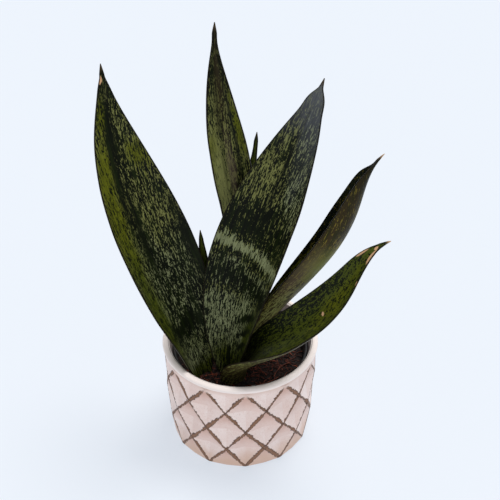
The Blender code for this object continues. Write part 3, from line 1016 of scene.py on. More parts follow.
    def build(self, effects: Effects) -> bpy.types.Object:
        """Make the pot.

        Args:
            effects: The shared node groups.

        Returns:
            The finished piece.
        """
        points, first, last = self.profile()
        rings = turned_rings(points, self.sides)
        mesh = lofted_mesh("cover_pot_turned", rings, Vector((0, 0, SIZES.pot_floor)), Vector((0, 0, 0)))
        marks = np.zeros(len(mesh.vertices), dtype=np.float32)
        marks[first * self.sides:(last + 1) * self.sides] = 1.0
        layer = mesh.attributes.new("relief", "FLOAT", "POINT")
        layer.data.foreach_set("value", marks)
        outer = np.zeros(len(mesh.vertices), dtype=np.float32)
        outer[(first - self.bead_steps) * self.sides:] = 1.0
        outer[-2] = 0.0
        layer = mesh.attributes.new("outer_side", "FLOAT", "POINT")
        layer.data.foreach_set("value", outer)
        settle_normals(mesh)
        obj = bpy.data.objects.new("cover_pot_turned", mesh)
        bpy.context.scene.collection.objects.link(obj)
        glaze = self.finish.material(effects)
        add_geometry_nodes(obj, self.relief_tree(), {
            "Columns": SIZES.relief_columns, "Rows": SIZES.relief_rows, "Top": SIZES.relief_top,
            "Row Height": SIZES.row_height, "Turn": SIZES.pattern_turn,
            "Radius Top": SIZES.crossing_top, "Radius Foot": SIZES.crossing_foot,
            "Taper Power": SIZES.taper_power, "Dimple Depth": SIZES.dimple_depth, "Material": glaze})
        return place_piece("cover_pot_glazed", baked(obj), glaze, "glazed_stoneware", "cover_pot")


def add_geometry_nodes(obj: bpy.types.Object, tree: bpy.types.NodeTree, values: dict) -> None:
    """Put a geometry node tree on an object.

    Args:
        obj: The object.
        tree: The tree.
        values: Values of the tree's inputs by name.
    """
    modifier = obj.modifiers.new(tree.name, "NODES")
    modifier.node_group = tree
    for item in tree.interface.items_tree:
        if item.item_type == "SOCKET" and item.in_out == "INPUT" and item.name in values:
            value = values[item.name]
            if item.socket_type == FLOAT:
                value = float(value)
            modifier[item.identifier] = value
    obj.update_tag()


# ---------------------------------------------------------------- nursery pot


@dataclass(frozen=True)
class PlasticFinish:
    """Thin black moulded plastic, dusty with soil."""

    body: Colour = display(22, 22, 23)
    dust: Colour = display(58, 48, 42)

    def material(self, effects: Effects) -> bpy.types.Material:
        """Build the plastic.

        Args:
            effects: The shared node groups.

        Returns:
            The material.
        """
        material, wiring, shader = new_material("black_plastic", ShaderSettings(specular=0.45))
        place = wiring.object_place()
        mottle = wiring.group(effects.mottle, Place=place, Base=self.body, Change=self.dust,
                              Scale=110.0, Amount=0.5)
        wiring.feed(shader.inputs["Base Color"], mottle["Colour"])
        wiring.feed(shader.inputs["Roughness"],
                    wiring.rise(mottle["Mask"], 0.0, 0.5, 0.34, 0.68))
        pits = wiring.group(effects.pits, Place=place, Scale=1400.0)
        wiring.feed(shader.inputs["Normal"], wiring.bump(pits["Height"], 0.00008, 0.7))
        return material


@dataclass(frozen=True)
class NurseryPot:
    """The thin grow pot with a rolled lip and drain holes."""

    sides: int = 240
    finish: PlasticFinish = PlasticFinish()

    def profile(self) -> list[tuple[float, float]]:
        """The turned outline.

        Returns:
            Its points, from the inner floor over the lip to the underside.
        """
        floor = SIZES.liner_floor + SIZES.liner_wall
        points = [(0.02, floor), (SIZES.liner_radius(floor) - SIZES.liner_wall - 0.001, floor)]
        for i in range(17):
            height = floor + 0.001 + (SIZES.liner_lip - floor - 0.0016) * i / 16
            points.append((SIZES.liner_radius(height) - SIZES.liner_wall, height))
        outer = SIZES.liner_top_radius + SIZES.liner_lip_width
        inner = SIZES.liner_top_radius - SIZES.liner_wall
        for i in range(7):
            angle = math.radians(180 - 180 * i / 6)
            points.append(((inner + outer) / 2 + (outer - inner) / 2 * math.cos(angle),
                           SIZES.liner_lip - 0.0006 + 0.0006 * math.sin(angle)))
        low = SIZES.liner_lip - SIZES.liner_lip_height
        points += [(outer, low), (SIZES.liner_radius(low), low)]
        for i in range(1, 13):
            height = low + (SIZES.liner_floor - low) * i / 12
            points.append((SIZES.liner_radius(height), height))
        points.append((0.02, SIZES.liner_floor))
        return points

    def build(self, effects: Effects) -> bpy.types.Object:
        """Make the nursery pot.

        Args:
            effects: The shared node groups.

        Returns:
            The finished piece.
        """
        top = Vector((0, 0, SIZES.liner_floor + SIZES.liner_wall))
        mesh = lofted_mesh("nursery_pot_turned", turned_rings(self.profile(), self.sides), top,
                           Vector((0, 0, SIZES.liner_floor)))
        settle_normals(mesh)
        obj = bpy.data.objects.new("nursery_pot_turned", mesh)
        bpy.context.scene.collection.objects.link(obj)
        cutter = self.drain_cutter()
        cut = obj.modifiers.new("drain_holes", "BOOLEAN")
        cut.object = cutter
        cut.solver = "EXACT"
        result = baked(obj)
        bpy.data.objects.remove(cutter, do_unlink=True)
        result.shade_smooth()
        result.set_sharp_from_angle(angle=math.radians(40))
        return place_piece("nursery_pot_moulded", result, self.finish.material(effects),
                           "black_plastic", "nursery_pot")

    def drain_cutter(self) -> bpy.types.Object:
        """The tool that cuts the drain holes.

        Returns:
            A ring of short cylinders, as one object.
        """
        build = bmesh.new()
        ring = (SIZES.liner_top_radius - SIZES.liner_taper) * SIZES.drain_ring_share
        for hole in range(SIZES.drain_holes):
            angle = math.tau * hole / SIZES.drain_holes
            place = Vector((ring * math.cos(angle), ring * math.sin(angle), SIZES.liner_floor))
            bmesh.ops.create_cone(build, cap_ends=True, segments=32, radius1=SIZES.drain_hole_radius,
                                  radius2=SIZES.drain_hole_radius, depth=SIZES.liner_wall * 6,
                                  matrix=Matrix.Translation(place))
        mesh = bpy.data.meshes.new("drain_cutter")
        build.to_mesh(mesh)
        build.free()
        cutter = bpy.data.objects.new("drain_cutter", mesh)
        bpy.context.scene.collection.objects.link(cutter)
        return cutter


# ---------------------------------------------------------------- leaf finishes


class Tint(Enum):
    """Colours of blade flesh, flecks and scars, and of painted sheen and shade."""

    NIGHT = display(12, 16, 8)
    PINE = display(30, 40, 12)
    MOSS = display(76, 84, 24)
    LIME = display(92, 96, 21)
    OLIVE = display(126, 128, 74)
    SILVER = display(138, 144, 104)
    # painted sheen: the grey reflection of the sky on the waxy skin
    BLOOM = display(102, 105, 110)
    KHAKI = display(124, 110, 44)
    UMBER = display(58, 48, 26)
    TAUPE = display(104, 90, 76)
    TAN = display(216, 172, 130)


class Face(Enum):
    """Which face of a blade a zone shows on."""

    BOTH = 0
    INNER = 1
    OUTER = 2


class Mark(Enum):
    """How a zone colours the blade: as flecks, or as an even wash."""

    FLECKS = 0
    WASH = 1


@dataclass(frozen=True)
class Zone:
    """One oval zone of a blade, in blade shares: across from -1 to 1, along from 0 to 1."""

    tint: Tint
    across: float
    along: float
    reach: tuple[float, float]
    amount: float
    mark: Mark = Mark.FLECKS
    face: Face = Face.BOTH
    slant: float = 0.0
    ragged: float = 0.12
    softness: float = 0.6


@dataclass(frozen=True)
class BladeFinish:
    """A blade's skin: dark flesh, zones of pale flecks, a dark margin and dry scars."""

    name: str
    flesh: Tint
    back: Tint
    zones: tuple[Zone, ...]
    fleck_scale: tuple[float, float] = (840.0, 140.0)
    base_cover: float = 0.40
    fleck_tint: Tint = Tint.OLIVE
    margin_width: float = 0.0007
    roughness: float = 0.42
    shift: float = 0.0
    tip: Colour = display(70, 58, 42)
    tip_start: float = 0.972
    margin: Colour = display(26, 20, 14)
    drift: float = 1.5

    def material(self, effects: Effects) -> bpy.types.Material:
        """Build the skin.

        Args:
            effects: The shared node groups.

        Returns:
            The material.
        """
        material, wiring, shader = new_material(
            f"leaf_skin_{self.name}", ShaderSettings(specular=0.07))
        place = wiring.shifted(wiring.stored("blade_place"), (self.shift, self.shift * 1.7, 0.0))
        share = wiring.stored("blade_share")
        _, along, margin = wiring.split(share)
        side = wiring.split(wiring.stored("blade_place"))[2]
        inner = wiring.rise(side, 0.35, 0.65)
        outer = wiring.rise(side, 0.35, 0.65, 1.0, 0.0)
        streak = wiring.grain(wiring.scaled(place, (620.0, 55.0, 3.0)), 1.0, 2.0, 0.6)
        cloud = wiring.grain(wiring.scaled(place, (95.0, 34.0, 3.0)), 1.0, 2.0, 0.55)
        flesh = wiring.blend(inner, self.back.value, self.flesh.value)
        soft = wiring.grain(wiring.scaled(place, (300.0, 22.0, 3.0)), 1.0, 3.0, 0.6)
        flesh = wiring.blend(wiring.rise(soft, 0.4, 0.7, 0.0, 0.6), flesh, Tint.PINE.value)
        cover = self.base_cover
        tint = self.fleck_tint.value
        washes = []
        for zone in self.zones:
            node = wiring.group(effects.patch, Share=share, Streak=streak, Cloud=cloud,
                                Across=zone.across, Along=zone.along, Across_Reach=zone.reach[0],
                                Along_Reach=zone.reach[1], Slant=zone.slant, Ragged=zone.ragged,
                                Softness=zone.softness)
            amount = node["Amount"]
            if zone.face is Face.INNER:
                amount = amount * inner
            elif zone.face is Face.OUTER:
                amount = amount * outer
            if zone.mark is Mark.WASH:
                washes.append((amount * zone.amount, zone.tint.value))
                continue
            tint = wiring.blend(amount, tint, zone.tint.value)
            cover = cover + (zone.amount - cover) * amount
        cover = cover + (streak - 0.5) * self.drift
        flecks = wiring.group(effects.flecks, Place=place, Coverage=cover,
                              Across_Scale=self.fleck_scale[0], Along_Scale=self.fleck_scale[1])
        fleck = flecks["Amount"]
        shade = wiring.grain(wiring.scaled(place, (420.0, 90.0, 3.0)), 1.0, 3.0, 0.65)
        strength = fleck * wiring.rise(shade, 0.32, 0.62, 0.6, 1.0)
        colour = wiring.blend(strength, flesh, tint)
        for amount, wash in washes:
            colour = wiring.blend(amount, colour, wash)
        dark = wiring.rise(margin, self.margin_width * 0.5, self.margin_width * 1.3, 0.9, 0.0)
        colour = wiring.blend(dark, colour, self.margin)
        tip = wiring.rise(along, self.tip_start, self.tip_start + 0.018, 0.0, 0.8)
        colour = wiring.blend(tip, colour, self.tip)
        wiring.feed(shader.inputs["Base Color"], colour)
        sheen = wiring.grain(wiring.scaled(place, (260.0, 60.0, 3.0)), 1.0, 3.0, 0.6)
        rough = wiring.rise(sheen, 0.3, 0.7, self.roughness - 0.07, self.roughness + 0.1)
        wiring.feed(shader.inputs["Roughness"], rough)
        ribs = wiring.grain(wiring.scaled(place, (1300.0, 26.0, 3.0)), 1.0, 3.0, 0.6)
        pores = wiring.grain(wiring.scaled(place, (3600.0, 1900.0, 3.0)), 1.0, 2.0, 0.6)
        height = ribs * 0.8 + pores * 0.2 + fleck * 0.1
        wiring.feed(shader.inputs["Normal"], wiring.bump(height, 0.00018, 0.8))
        return material


def zone(tint: Tint, across: float, along: float, wide: float, tall: float, amount: float,
         **options) -> Zone:
    """A zone of flecks."""
    return Zone(tint, across, along, (wide, tall), amount, **options)


def wash(tint: Tint, across: float, along: float, wide: float, tall: float, amount: float,
         **options) -> Zone:
    """A zone of even colour."""
    return Zone(tint, across, along, (wide, tall), amount, mark=Mark.WASH, **options)


LEFT_SKIN = BladeFinish("left", Tint.NIGHT, Tint.PINE, (
    zone(Tint.SILVER, 0.0, 0.24, 1.4, 0.20, 0.38),
    zone(Tint.SILVER, -0.35, 0.42, 0.8, 0.13, 0.40),
    zone(Tint.OLIVE, -0.45, 0.56, 0.5, 0.11, 0.54),
    zone(Tint.OLIVE, -0.55, 0.69, 0.5, 0.07, 0.38),
    zone(Tint.LIME, -0.6, 0.74, 0.4, 0.05, 0.76),
    zone(Tint.OLIVE, -0.5, 0.84, 0.45, 0.06, 0.55),
    zone(Tint.LIME, 0.66, 0.60, 0.40, 0.24, 0.78),
    zone(Tint.LIME, 0.66, 0.70, 0.32, 0.06, 0.96),
    zone(Tint.LIME, 0.55, 0.86, 0.35, 0.05, 0.66),
    zone(Tint.MOSS, 0.75, 0.27, 0.45, 0.18, 0.74),
    zone(Tint.MOSS, 0.0, 0.05, 1.4, 0.08, 0.66),
    zone(Tint.SILVER, 0.1, 0.09, 0.8, 0.035, 0.66),
    zone(Tint.NIGHT, 0.28, 0.68, 0.10, 0.14, 0.36, softness=0.9),
    zone(Tint.NIGHT, 0.08, 0.50, 0.10, 0.13, 0.36, softness=0.9),
    zone(Tint.NIGHT, 0.15, 0.80, 0.24, 0.06, 0.20, softness=0.8),
    zone(Tint.NIGHT, -0.95, 0.40, 0.20, 0.14, 0.34),
    zone(Tint.NIGHT, -0.1, 0.20, 0.6, 0.03, 0.20, ragged=0.16),
    wash(Tint.NIGHT, 0.0, 0.955, 1.8, 0.06, 0.6),
    wash(Tint.TAN, 0.75, 0.955, 0.5, 0.012, 0.9, softness=0.2, ragged=0.02),
), shift=0.11)

CENTER_SKIN = BladeFinish("center", Tint.NIGHT, Tint.PINE, (
    zone(Tint.OLIVE, 0.0, 0.60, 1.6, 0.08, 0.55),
    zone(Tint.OLIVE, 0.3, 0.53, 1.3, 0.06, 0.15),
    zone(Tint.OLIVE, 0.55, 0.69, 0.5, 0.05, 0.70),
    zone(Tint.OLIVE, 0.5, 0.82, 0.4, 0.06, 0.54),
    zone(Tint.SILVER, -0.62, 0.68, 0.40, 0.08, 0.50),
    zone(Tint.SILVER, -0.5, 0.85, 0.5, 0.10, 0.46),
    zone(Tint.SILVER, 0.0, 0.16, 2.0, 0.145, 0.66, ragged=0.10, softness=0.2),
    zone(Tint.SILVER, 0.0, 0.352, 2.0, 0.030, 0.15, ragged=0.12, softness=0.3),
    zone(Tint.SILVER, 0.5, 0.395, 0.5, 0.014, 0.50, ragged=0.10),
    zone(Tint.SILVER, -0.5, 0.385, 0.5, 0.014, 0.55, ragged=0.10),
    zone(Tint.SILVER, 0.0, 0.449, 2.4, 0.016, 1.0, slant=-0.012, ragged=0.10, softness=0.36),
    zone(Tint.MOSS, -0.75, 0.18, 0.35, 0.12, 0.62),
    zone(Tint.MOSS, 0.1, 0.07, 0.9, 0.07, 0.66),
    zone(Tint.NIGHT, -0.45, 0.250, 0.35, 0.014, 0.10, slant=0.09, ragged=0.06),
    zone(Tint.NIGHT, -0.45, 0.195, 0.30, 0.010, 0.15, slant=0.09, ragged=0.06),
    zone(Tint.NIGHT, -0.5, 0.145, 0.25, 0.009, 0.15, slant=0.09, ragged=0.06),
    zone(Tint.NIGHT, 0.12, 0.075, 0.10, 0.04, 0.10),
    # painted sheen: grey sky reflection near the centre blade's tip
    wash(Tint.BLOOM, -0.2, 0.97, 1.8, 0.11, 0.66, softness=0.9),
    wash(Tint.BLOOM, -0.6, 0.82, 0.5, 0.12, 0.22, softness=0.8),
    wash(Tint.NIGHT, 0.1, 0.70, 0.07, 0.20, 0.6, softness=0.8),
), shift=0.37, base_cover=0.38)

BACK_SKIN = BladeFinish("back", Tint.NIGHT, Tint.PINE, (
    zone(Tint.OLIVE, 0.0, 0.66, 1.6, 0.16, 0.58),
    zone(Tint.LIME, 0.70, 0.66, 0.36, 0.045, 1.1),
    zone(Tint.OLIVE, 0.45, 0.57, 0.5, 0.11, 1.1),
    zone(Tint.OLIVE, 0.45, 0.80, 0.35, 0.05, 0.62),
    zone(Tint.LIME, -0.82, 0.72, 0.24, 0.09, 0.90),
    zone(Tint.SILVER, 0.0, 0.30, 1.8, 0.10, 0.65, ragged=0.10),
    zone(Tint.SILVER, 0.0, 0.44, 1.8, 0.02, 1.0, ragged=0.10),
    wash(Tint.NIGHT, 0.0, 0.93, 1.4, 0.12, 0.55, softness=0.9),
    wash(Tint.UMBER, -0.12, 0.88, 0.34, 0.16, 0.50, softness=0.8),
    wash(Tint.TAUPE, -0.18, 0.60, 0.16, 0.09, 0.50, softness=0.8),
    # painted shade in a groove down the blade
    wash(Tint.NIGHT, -0.55, 0.66, 0.07, 0.18, 0.80, softness=0.7),
    wash(Tint.NIGHT, 0.12, 0.70, 0.10, 0.16, 0.45, softness=0.7),
), shift=0.61)

UPPER_SKIN = BladeFinish("right_upper", Tint.NIGHT, Tint.UMBER, (
    zone(Tint.KHAKI, 0.3, 0.64, 0.5, 0.07, 1.0, face=Face.OUTER),
    zone(Tint.KHAKI, 0.3, 0.80, 0.5, 0.06, 0.75, face=Face.OUTER),
    zone(Tint.LIME, -0.30, 0.52, 0.40, 0.10, 1.1, face=Face.OUTER),
    zone(Tint.OLIVE, 0.7, 0.20, 0.4, 0.10, 0.75),
    zone(Tint.OLIVE, -0.6, 0.30, 0.4, 0.14, 0.75),
    zone(Tint.LIME, 0.78, 0.34, 0.12, 0.18, 0.90, face=Face.INNER),
    wash(Tint.NIGHT, 0.0, 0.92, 1.2, 0.10, 0.70, face=Face.OUTER, softness=0.8),
    wash(Tint.LIME, -0.5, 0.56, 0.35, 0.08, 0.6, face=Face.OUTER, softness=0.8),
    wash(Tint.KHAKI, 0.3, 0.64, 0.4, 0.05, 0.65, face=Face.OUTER, softness=0.9),
    wash(Tint.NIGHT, 0.1, 0.72, 0.6, 0.04, 0.7, face=Face.OUTER, softness=0.8),
    wash(Tint.NIGHT, -0.2, 0.40, 0.35, 0.10, 0.55, face=Face.OUTER, softness=0.8),
    wash(Tint.TAUPE, 0.55, 0.42, 0.35, 0.12, 0.55, face=Face.OUTER, softness=0.8),
    wash(Tint.TAUPE, -0.8, 0.50, 0.2, 0.12, 0.40, face=Face.OUTER, softness=0.8),
    wash(Tint.TAN, 0.0, 0.998, 2.0, 0.008, 0.9, softness=0.3),
), shift=0.83, fleck_scale=(820.0, 130.0), base_cover=0.30, fleck_tint=Tint.KHAKI,
    tip=Tint.TAN.value, tip_start=0.978)

LOWER_SKIN = BladeFinish("right_lower", Tint.NIGHT, Tint.UMBER, (
    zone(Tint.MOSS, 0.0, 0.62, 2.0, 0.50, 0.80, face=Face.INNER, softness=0.3),
    zone(Tint.MOSS, 0.8, 0.60, 0.35, 0.30, 0.56, face=Face.INNER),
    zone(Tint.LIME, -0.2, 0.70, 0.45, 0.14, 0.80, face=Face.INNER),
    zone(Tint.MOSS, 0.8, 0.30, 0.3, 0.14, 0.50, face=Face.INNER),
    # painted shade inside the folded channel near the foot
    wash(Tint.NIGHT, 0.0, 0.14, 2.0, 0.10, 0.45, face=Face.INNER, softness=0.9),
    zone(Tint.OLIVE, 0.0, 0.1, 2.0, 0.4, 0.52, face=Face.OUTER),
    wash(Tint.UMBER, 0.3, 0.10, 1.2, 0.2, 0.35, face=Face.OUTER, softness=0.9),
    wash(Tint.TAN, 0.86, 0.895, 0.16, 0.028, 0.95, softness=0.2, ragged=0.02),
    wash(Tint.TAN, -0.72, 0.915, 0.30, 0.030, 0.95, softness=0.2, ragged=0.02),
    wash(Tint.TAN, -0.1, 0.945, 0.4, 0.007, 0.9, softness=0.2, ragged=0.02),
    wash(Tint.TAN, -0.93, 0.81, 0.14, 0.010, 0.9, softness=0.2, ragged=0.02),
    wash(Tint.TAN, 0.0, 0.60, 0.09, 0.006, 0.9, softness=0.2, ragged=0.01),
), shift=1.07, fleck_scale=(520.0, 190.0), base_cover=0.50, fleck_tint=Tint.MOSS,
    tip=Tint.TAN.value, tip_start=0.980)

YOUNG_SKIN = BladeFinish("young", Tint.PINE, Tint.PINE, (
    zone(Tint.MOSS, 0.0, 0.75, 0.6, 0.4, 1.0),
), shift=1.31, fleck_tint=Tint.MOSS)


# ---------------------------------------------------------------- leaves


@dataclass(frozen=True)
class Blade:
    """One leaf, walked from its foot to its tip.

    foot is a share of the soil bed's radius. heading, tilt and roll are degrees at foot, middle and
    tip; foot_bend and tip_curl add tilt near the ends. half_width is along the blade's arc at foot
    and widest place, fold half the angle of that arc at foot and tip.
    """

    name: str
    foot: tuple[float, float]
    length: float
    heading: tuple[float, float, float]
    tilt: tuple[float, float, float]
    roll: tuple[float, float, float]
    half_width: tuple[float, float]
    widest_at: float
    taper: float
    fold: tuple[float, float]
    finish: BladeFinish
    foot_bend: float = 0.0
    tip_curl: float = 0.0
    shoulder: float = 0.0
    sections: int = 210
    strips: int = 44

    FOOT_THICKNESS = 0.0030
    TIP_THICKNESS = 0.0013
    MARGIN_THICKNESS = 0.0009
    SPIKE_LENGTH = 0.006
    SPIKE_HALF_WIDTH = 0.0012
    SPIKE_SWELL = 0.25
    CURL_START = 0.78
    BEND_END = 0.35
    FOOT_TUCK = 0.001
    RIPPLE = 0.0007
    SHOULDER_AT = 0.955
    SHOULDER_REACH = 0.035

    @staticmethod
    def between(values: Sequence[float], share: float) -> float:
        """Read a quadratic curve.

        Args:
            values: Its values at foot, middle and tip.
            share: Where it is read, 0 at the foot and 1 at the tip.

        Returns:
            Its value there.
        """
        foot, middle, tip = values
        near = foot * (1 - share) * (1 - 2 * share)
        return near + middle * 4 * share * (1 - share) + tip * share * (2 * share - 1)

    def width_at(self, share: float) -> float:
        """Half the blade's width along its arc.

        Args:
            share: The share of its length, from the foot.

        Returns:
            The half width in metres.
        """
        spike_share = self.SPIKE_LENGTH / self.length
        blade_share = min(share / (1 - spike_share), 1.0)
        foot, widest = self.half_width
        if blade_share < self.widest_at:
            width = foot + (widest - foot) * math.sin(math.pi / 2 * blade_share / self.widest_at)
        else:
            fall = (blade_share - self.widest_at) / (1 - self.widest_at)
            width = widest * max(math.cos(math.pi / 2 * fall), 0.0) ** self.taper
        width *= 1 + self.shoulder * math.exp(-((share - self.SHOULDER_AT) / self.SHOULDER_REACH) ** 2)
        spike = self.SPIKE_HALF_WIDTH * min(1.6, (1 - share) / spike_share + self.SPIKE_SWELL)
        return (width ** 4 + spike ** 4) ** 0.25

    def frames(self) -> list[tuple[float, Vector, Vector, Vector]]:
        """Walk the midline.

        Returns:
            Share, midline point, across and inward directions at each section.
        """
        place = Vector((self.foot[0] * SIZES.bed_radius, self.foot[1] * SIZES.bed_radius,
                        SIZES.leaf_foot - self.FOOT_TUCK))
        step = self.length / self.sections
        before = None
        result = []
        for i in range(self.sections + 1):
            share = i / self.sections
            heading = math.radians(self.between(self.heading, share))
            tilt = self.between(self.tilt, share)
            tilt += self.tip_curl * max((share - self.CURL_START) / (1 - self.CURL_START), 0.0) ** 2
            tilt += self.foot_bend * max(1 - share / self.BEND_END, 0.0) ** 2
            tilt = math.radians(tilt)
            along = Vector((math.sin(tilt) * math.cos(heading), math.sin(tilt) * math.sin(heading),
                            math.cos(tilt)))
            if before is not None:
                place = place + (along + before) * (step / 2)
            before = along
            across = Vector((-math.sin(heading), math.cos(heading), 0.0))
            turn = Matrix.Rotation(math.radians(self.between(self.roll, share)), 3, along)
            result.append((share, place.copy(), turn @ across, turn @ along.cross(across)))
        return result

    def section(self, share: float, place: Vector, across: Vector,
                inward: Vector) -> tuple[list, list]:
        """One crescent section.

        Args:
            share: Where it is along the blade.
            place: The midline's point.
            across: The direction across the blade.
            inward: The direction of the hollow face.

        Returns:
            Its points, and the blade coordinates of each: place, side and shares.
        """
        width = self.width_at(share)
        fold = math.radians(self.fold[0] + (self.fold[1] - self.fold[0]) * share)
        radius = width / fold
        thick = self.FOOT_THICKNESS + (self.TIP_THICKNESS - self.FOOT_THICKNESS) * share
        thick = min(thick, width)
        margin = min(self.MARGIN_THICKNESS, thick * 0.6)
        upper = []
        lower = []
        for strip in range(self.strips + 1):
            u = -math.cos(math.pi * strip / self.strips)
            angle = fold * u
            centre = place + across * (radius * math.sin(angle))
            centre = centre + inward * (radius * (1 - math.cos(angle)))
            facing = inward * math.cos(angle) - across * math.sin(angle)
            wave = noise.noise(Vector((u * 1.3, share * 9.0, self.finish.shift * 10)))
            fade = min(width / 0.02, 1.0) * (0.25 + 0.75 * u * u) * min(share * 4, 1.0)
            centre = centre + facing * (self.RIPPLE * wave * fade)
            half = (margin + (thick - margin) * math.sqrt(max(1 - u * u, 0.0))) / 2
            arc = u * width
            edge = width * (1 - abs(u))
            if strip in (0, self.strips):
                upper.append((centre, (arc, share * self.length, 0.5), (u, share, 0.0)))
                continue
            upper.append((centre + facing * half, (arc, share * self.length, 1.0), (u, share, edge)))
            lower.append((centre - facing * half, (arc, share * self.length, 0.0), (u, share, edge)))
        ring = upper + lower[::-1]
        return [point for point, _, _ in ring], [(spot, shares) for _, spot, shares in ring]

    def build(self, effects: Effects) -> bpy.types.Object:
        """Make the leaf.

        Args:
            effects: The shared node groups.

        Returns:
            The finished piece.
        """
        rings = []
        coordinates = []
        for share, place, across, inward in self.frames():
            points, blade_coordinates = self.section(share, place, across, inward)
            rings.append(np.array(points))
            coordinates += blade_coordinates
        mesh = lofted_mesh(self.name, rings)
        for index, name in enumerate(("blade_place", "blade_share")):
            layer = mesh.attributes.new(name, "FLOAT_VECTOR", "POINT")
            values = np.array([pair[index] for pair in coordinates], dtype=np.float32)
            layer.data.foreach_set("vector", values.ravel())
        self.trim_foot(mesh)
        settle_normals(mesh)
        return place_piece(f"{self.name}_blade", mesh, self.finish.material(effects), "leaf_blade",
                           self.name)

    @staticmethod
    def trim_foot(mesh: bpy.types.Mesh) -> None:
        """Cut the foot flat where the leaf grows from the rootstock.

        Args:
            mesh: The blade's mesh.
        """
        build = bmesh.new()
        build.from_mesh(mesh)
        whole = build.verts[:] + build.edges[:] + build.faces[:]
        bmesh.ops.bisect_plane(build, geom=whole, plane_co=(0, 0, SIZES.leaf_foot),
                               plane_no=(0, 0, 1), clear_inner=True)
        rim = [edge for edge in build.edges if edge.is_boundary]
        bmesh.ops.holes_fill(build, edges=rim)
        build.to_mesh(mesh)
        build.free()


LEAVES = (
    Blade("leaf_left", (-0.635, -0.468), 0.278, (161, 133, 101), (12, 28.6, 32), (-14, -1, -1),
          (0.012, 0.0381), 0.40, 1.04, (65, 25), LEFT_SKIN, shoulder=0.2),
    Blade("leaf_center", (-0.152, -0.402), 0.270, (51, 31, 44), (1.5, 21.5, 27), (5.5, 21, 23.5),
          (0.010, 0.036), 0.42, 0.86, (70, 20), CENTER_SKIN, shoulder=0.42),
    Blade("leaf_back", (0.092, 0.239), 0.289, (117, 127, 84.5), (3, 12, 20.5), (6.5, 2.5, -4),
          (0.010, 0.0205), 0.57, 1.15, (70, 40), BACK_SKIN),
    Blade("leaf_right_upper", (0.270, -0.139), 0.241, (3.5, -13, -10.5), (21, 32, -16),
          (-27.5, -5.5, 0), (0.011, 0.0297), 0.65, 0.91, (85, 85.5), UPPER_SKIN, -31, 55, -0.42),
    Blade("leaf_right_lower", (-0.018, -0.599), 0.210, (-42, -17, 5), (48.5, 37.5, 6.5),
          (-9, 24.5, 22.5), (0.0174, 0.0261), 0.31, 0.84, (88, 30), LOWER_SKIN, -40, 66),
    Blade("young_leaf_back", (-0.151, 0.038), 0.199, (101, 69, 69), (16, 30.5, 10.5), (0, 0, 0),
          (0.004, 0.009), 0.45, 0.85, (70, 60), YOUNG_SKIN),
    Blade("young_leaf_left", (-0.436, -0.109), 0.126, (112, 110, 110), (8, 13.5, 8), (0, 0, 0),
          (0.004, 0.008), 0.45, 0.70, (70, 60), YOUNG_SKIN),
)


# ---------------------------------------------------------------- soil and litter


@dataclass(frozen=True)
class EarthFinish:
    """Dark, fibrous matter: peat, coir, bark or root, coloured by a tone stored on each piece."""

    name: str
    dark: Colour
    light: Colour
    scale: float
    bump: float
    roughness: float = 0.9
    toned: bool = False

    def material(self, effects: Effects) -> bpy.types.Material:
        """Build the finish.

        Args:
            effects: The shared node groups.

        Returns:
            The material.
        """
        material, wiring, shader = new_material(self.name, ShaderSettings(specular=0.3))
        place = wiring.object_place()
        mottle = wiring.group(effects.mottle, Place=place, Base=self.dark, Change=self.light,
                              Scale=self.scale, Amount=0.9)
        colour = mottle["Colour"]
        if self.toned:
            tone = wiring.stored("tone", "Fac")
            colour = wiring.blend(tone, colour, self.dark)
        wiring.feed(shader.inputs["Base Color"], colour)
        wiring.feed(shader.inputs["Roughness"],
                    wiring.rise(mottle["Mask"], 0.0, 0.9, self.roughness, self.roughness - 0.2))
        pits = wiring.group(effects.pits, Place=place, Scale=self.scale * 6)
        wiring.feed(shader.inputs["Normal"], wiring.bump(pits["Height"], self.bump, 0.9))
        return material


PEAT = EarthFinish("potting_soil", display(12, 8, 7), display(44, 27, 20), 260.0, 0.0005)
CRUMB = EarthFinish("soil_crumb", display(12, 8, 6), display(50, 30, 22), 320.0, 0.0003, toned=True)
COIR = EarthFinish("coir_fibre", display(30, 14, 10), display(172, 84, 56), 300.0, 0.0001, 0.75, True)
STRAND_COIR = EarthFinish("coir_strand", display(70, 32, 22), display(140, 72, 48), 420.0, 0.0001, 0.7)
BARK = EarthFinish("bark", display(40, 26, 18), display(92, 62, 42), 380.0, 0.0004)
GRIT = EarthFinish("grit", display(120, 116, 112), display(168, 164, 158), 700.0, 0.0002, 0.7)
ROOT = EarthFinish("rootstock_tissue", display(150, 108, 62), display(196, 160, 104), 120.0, 0.0004)


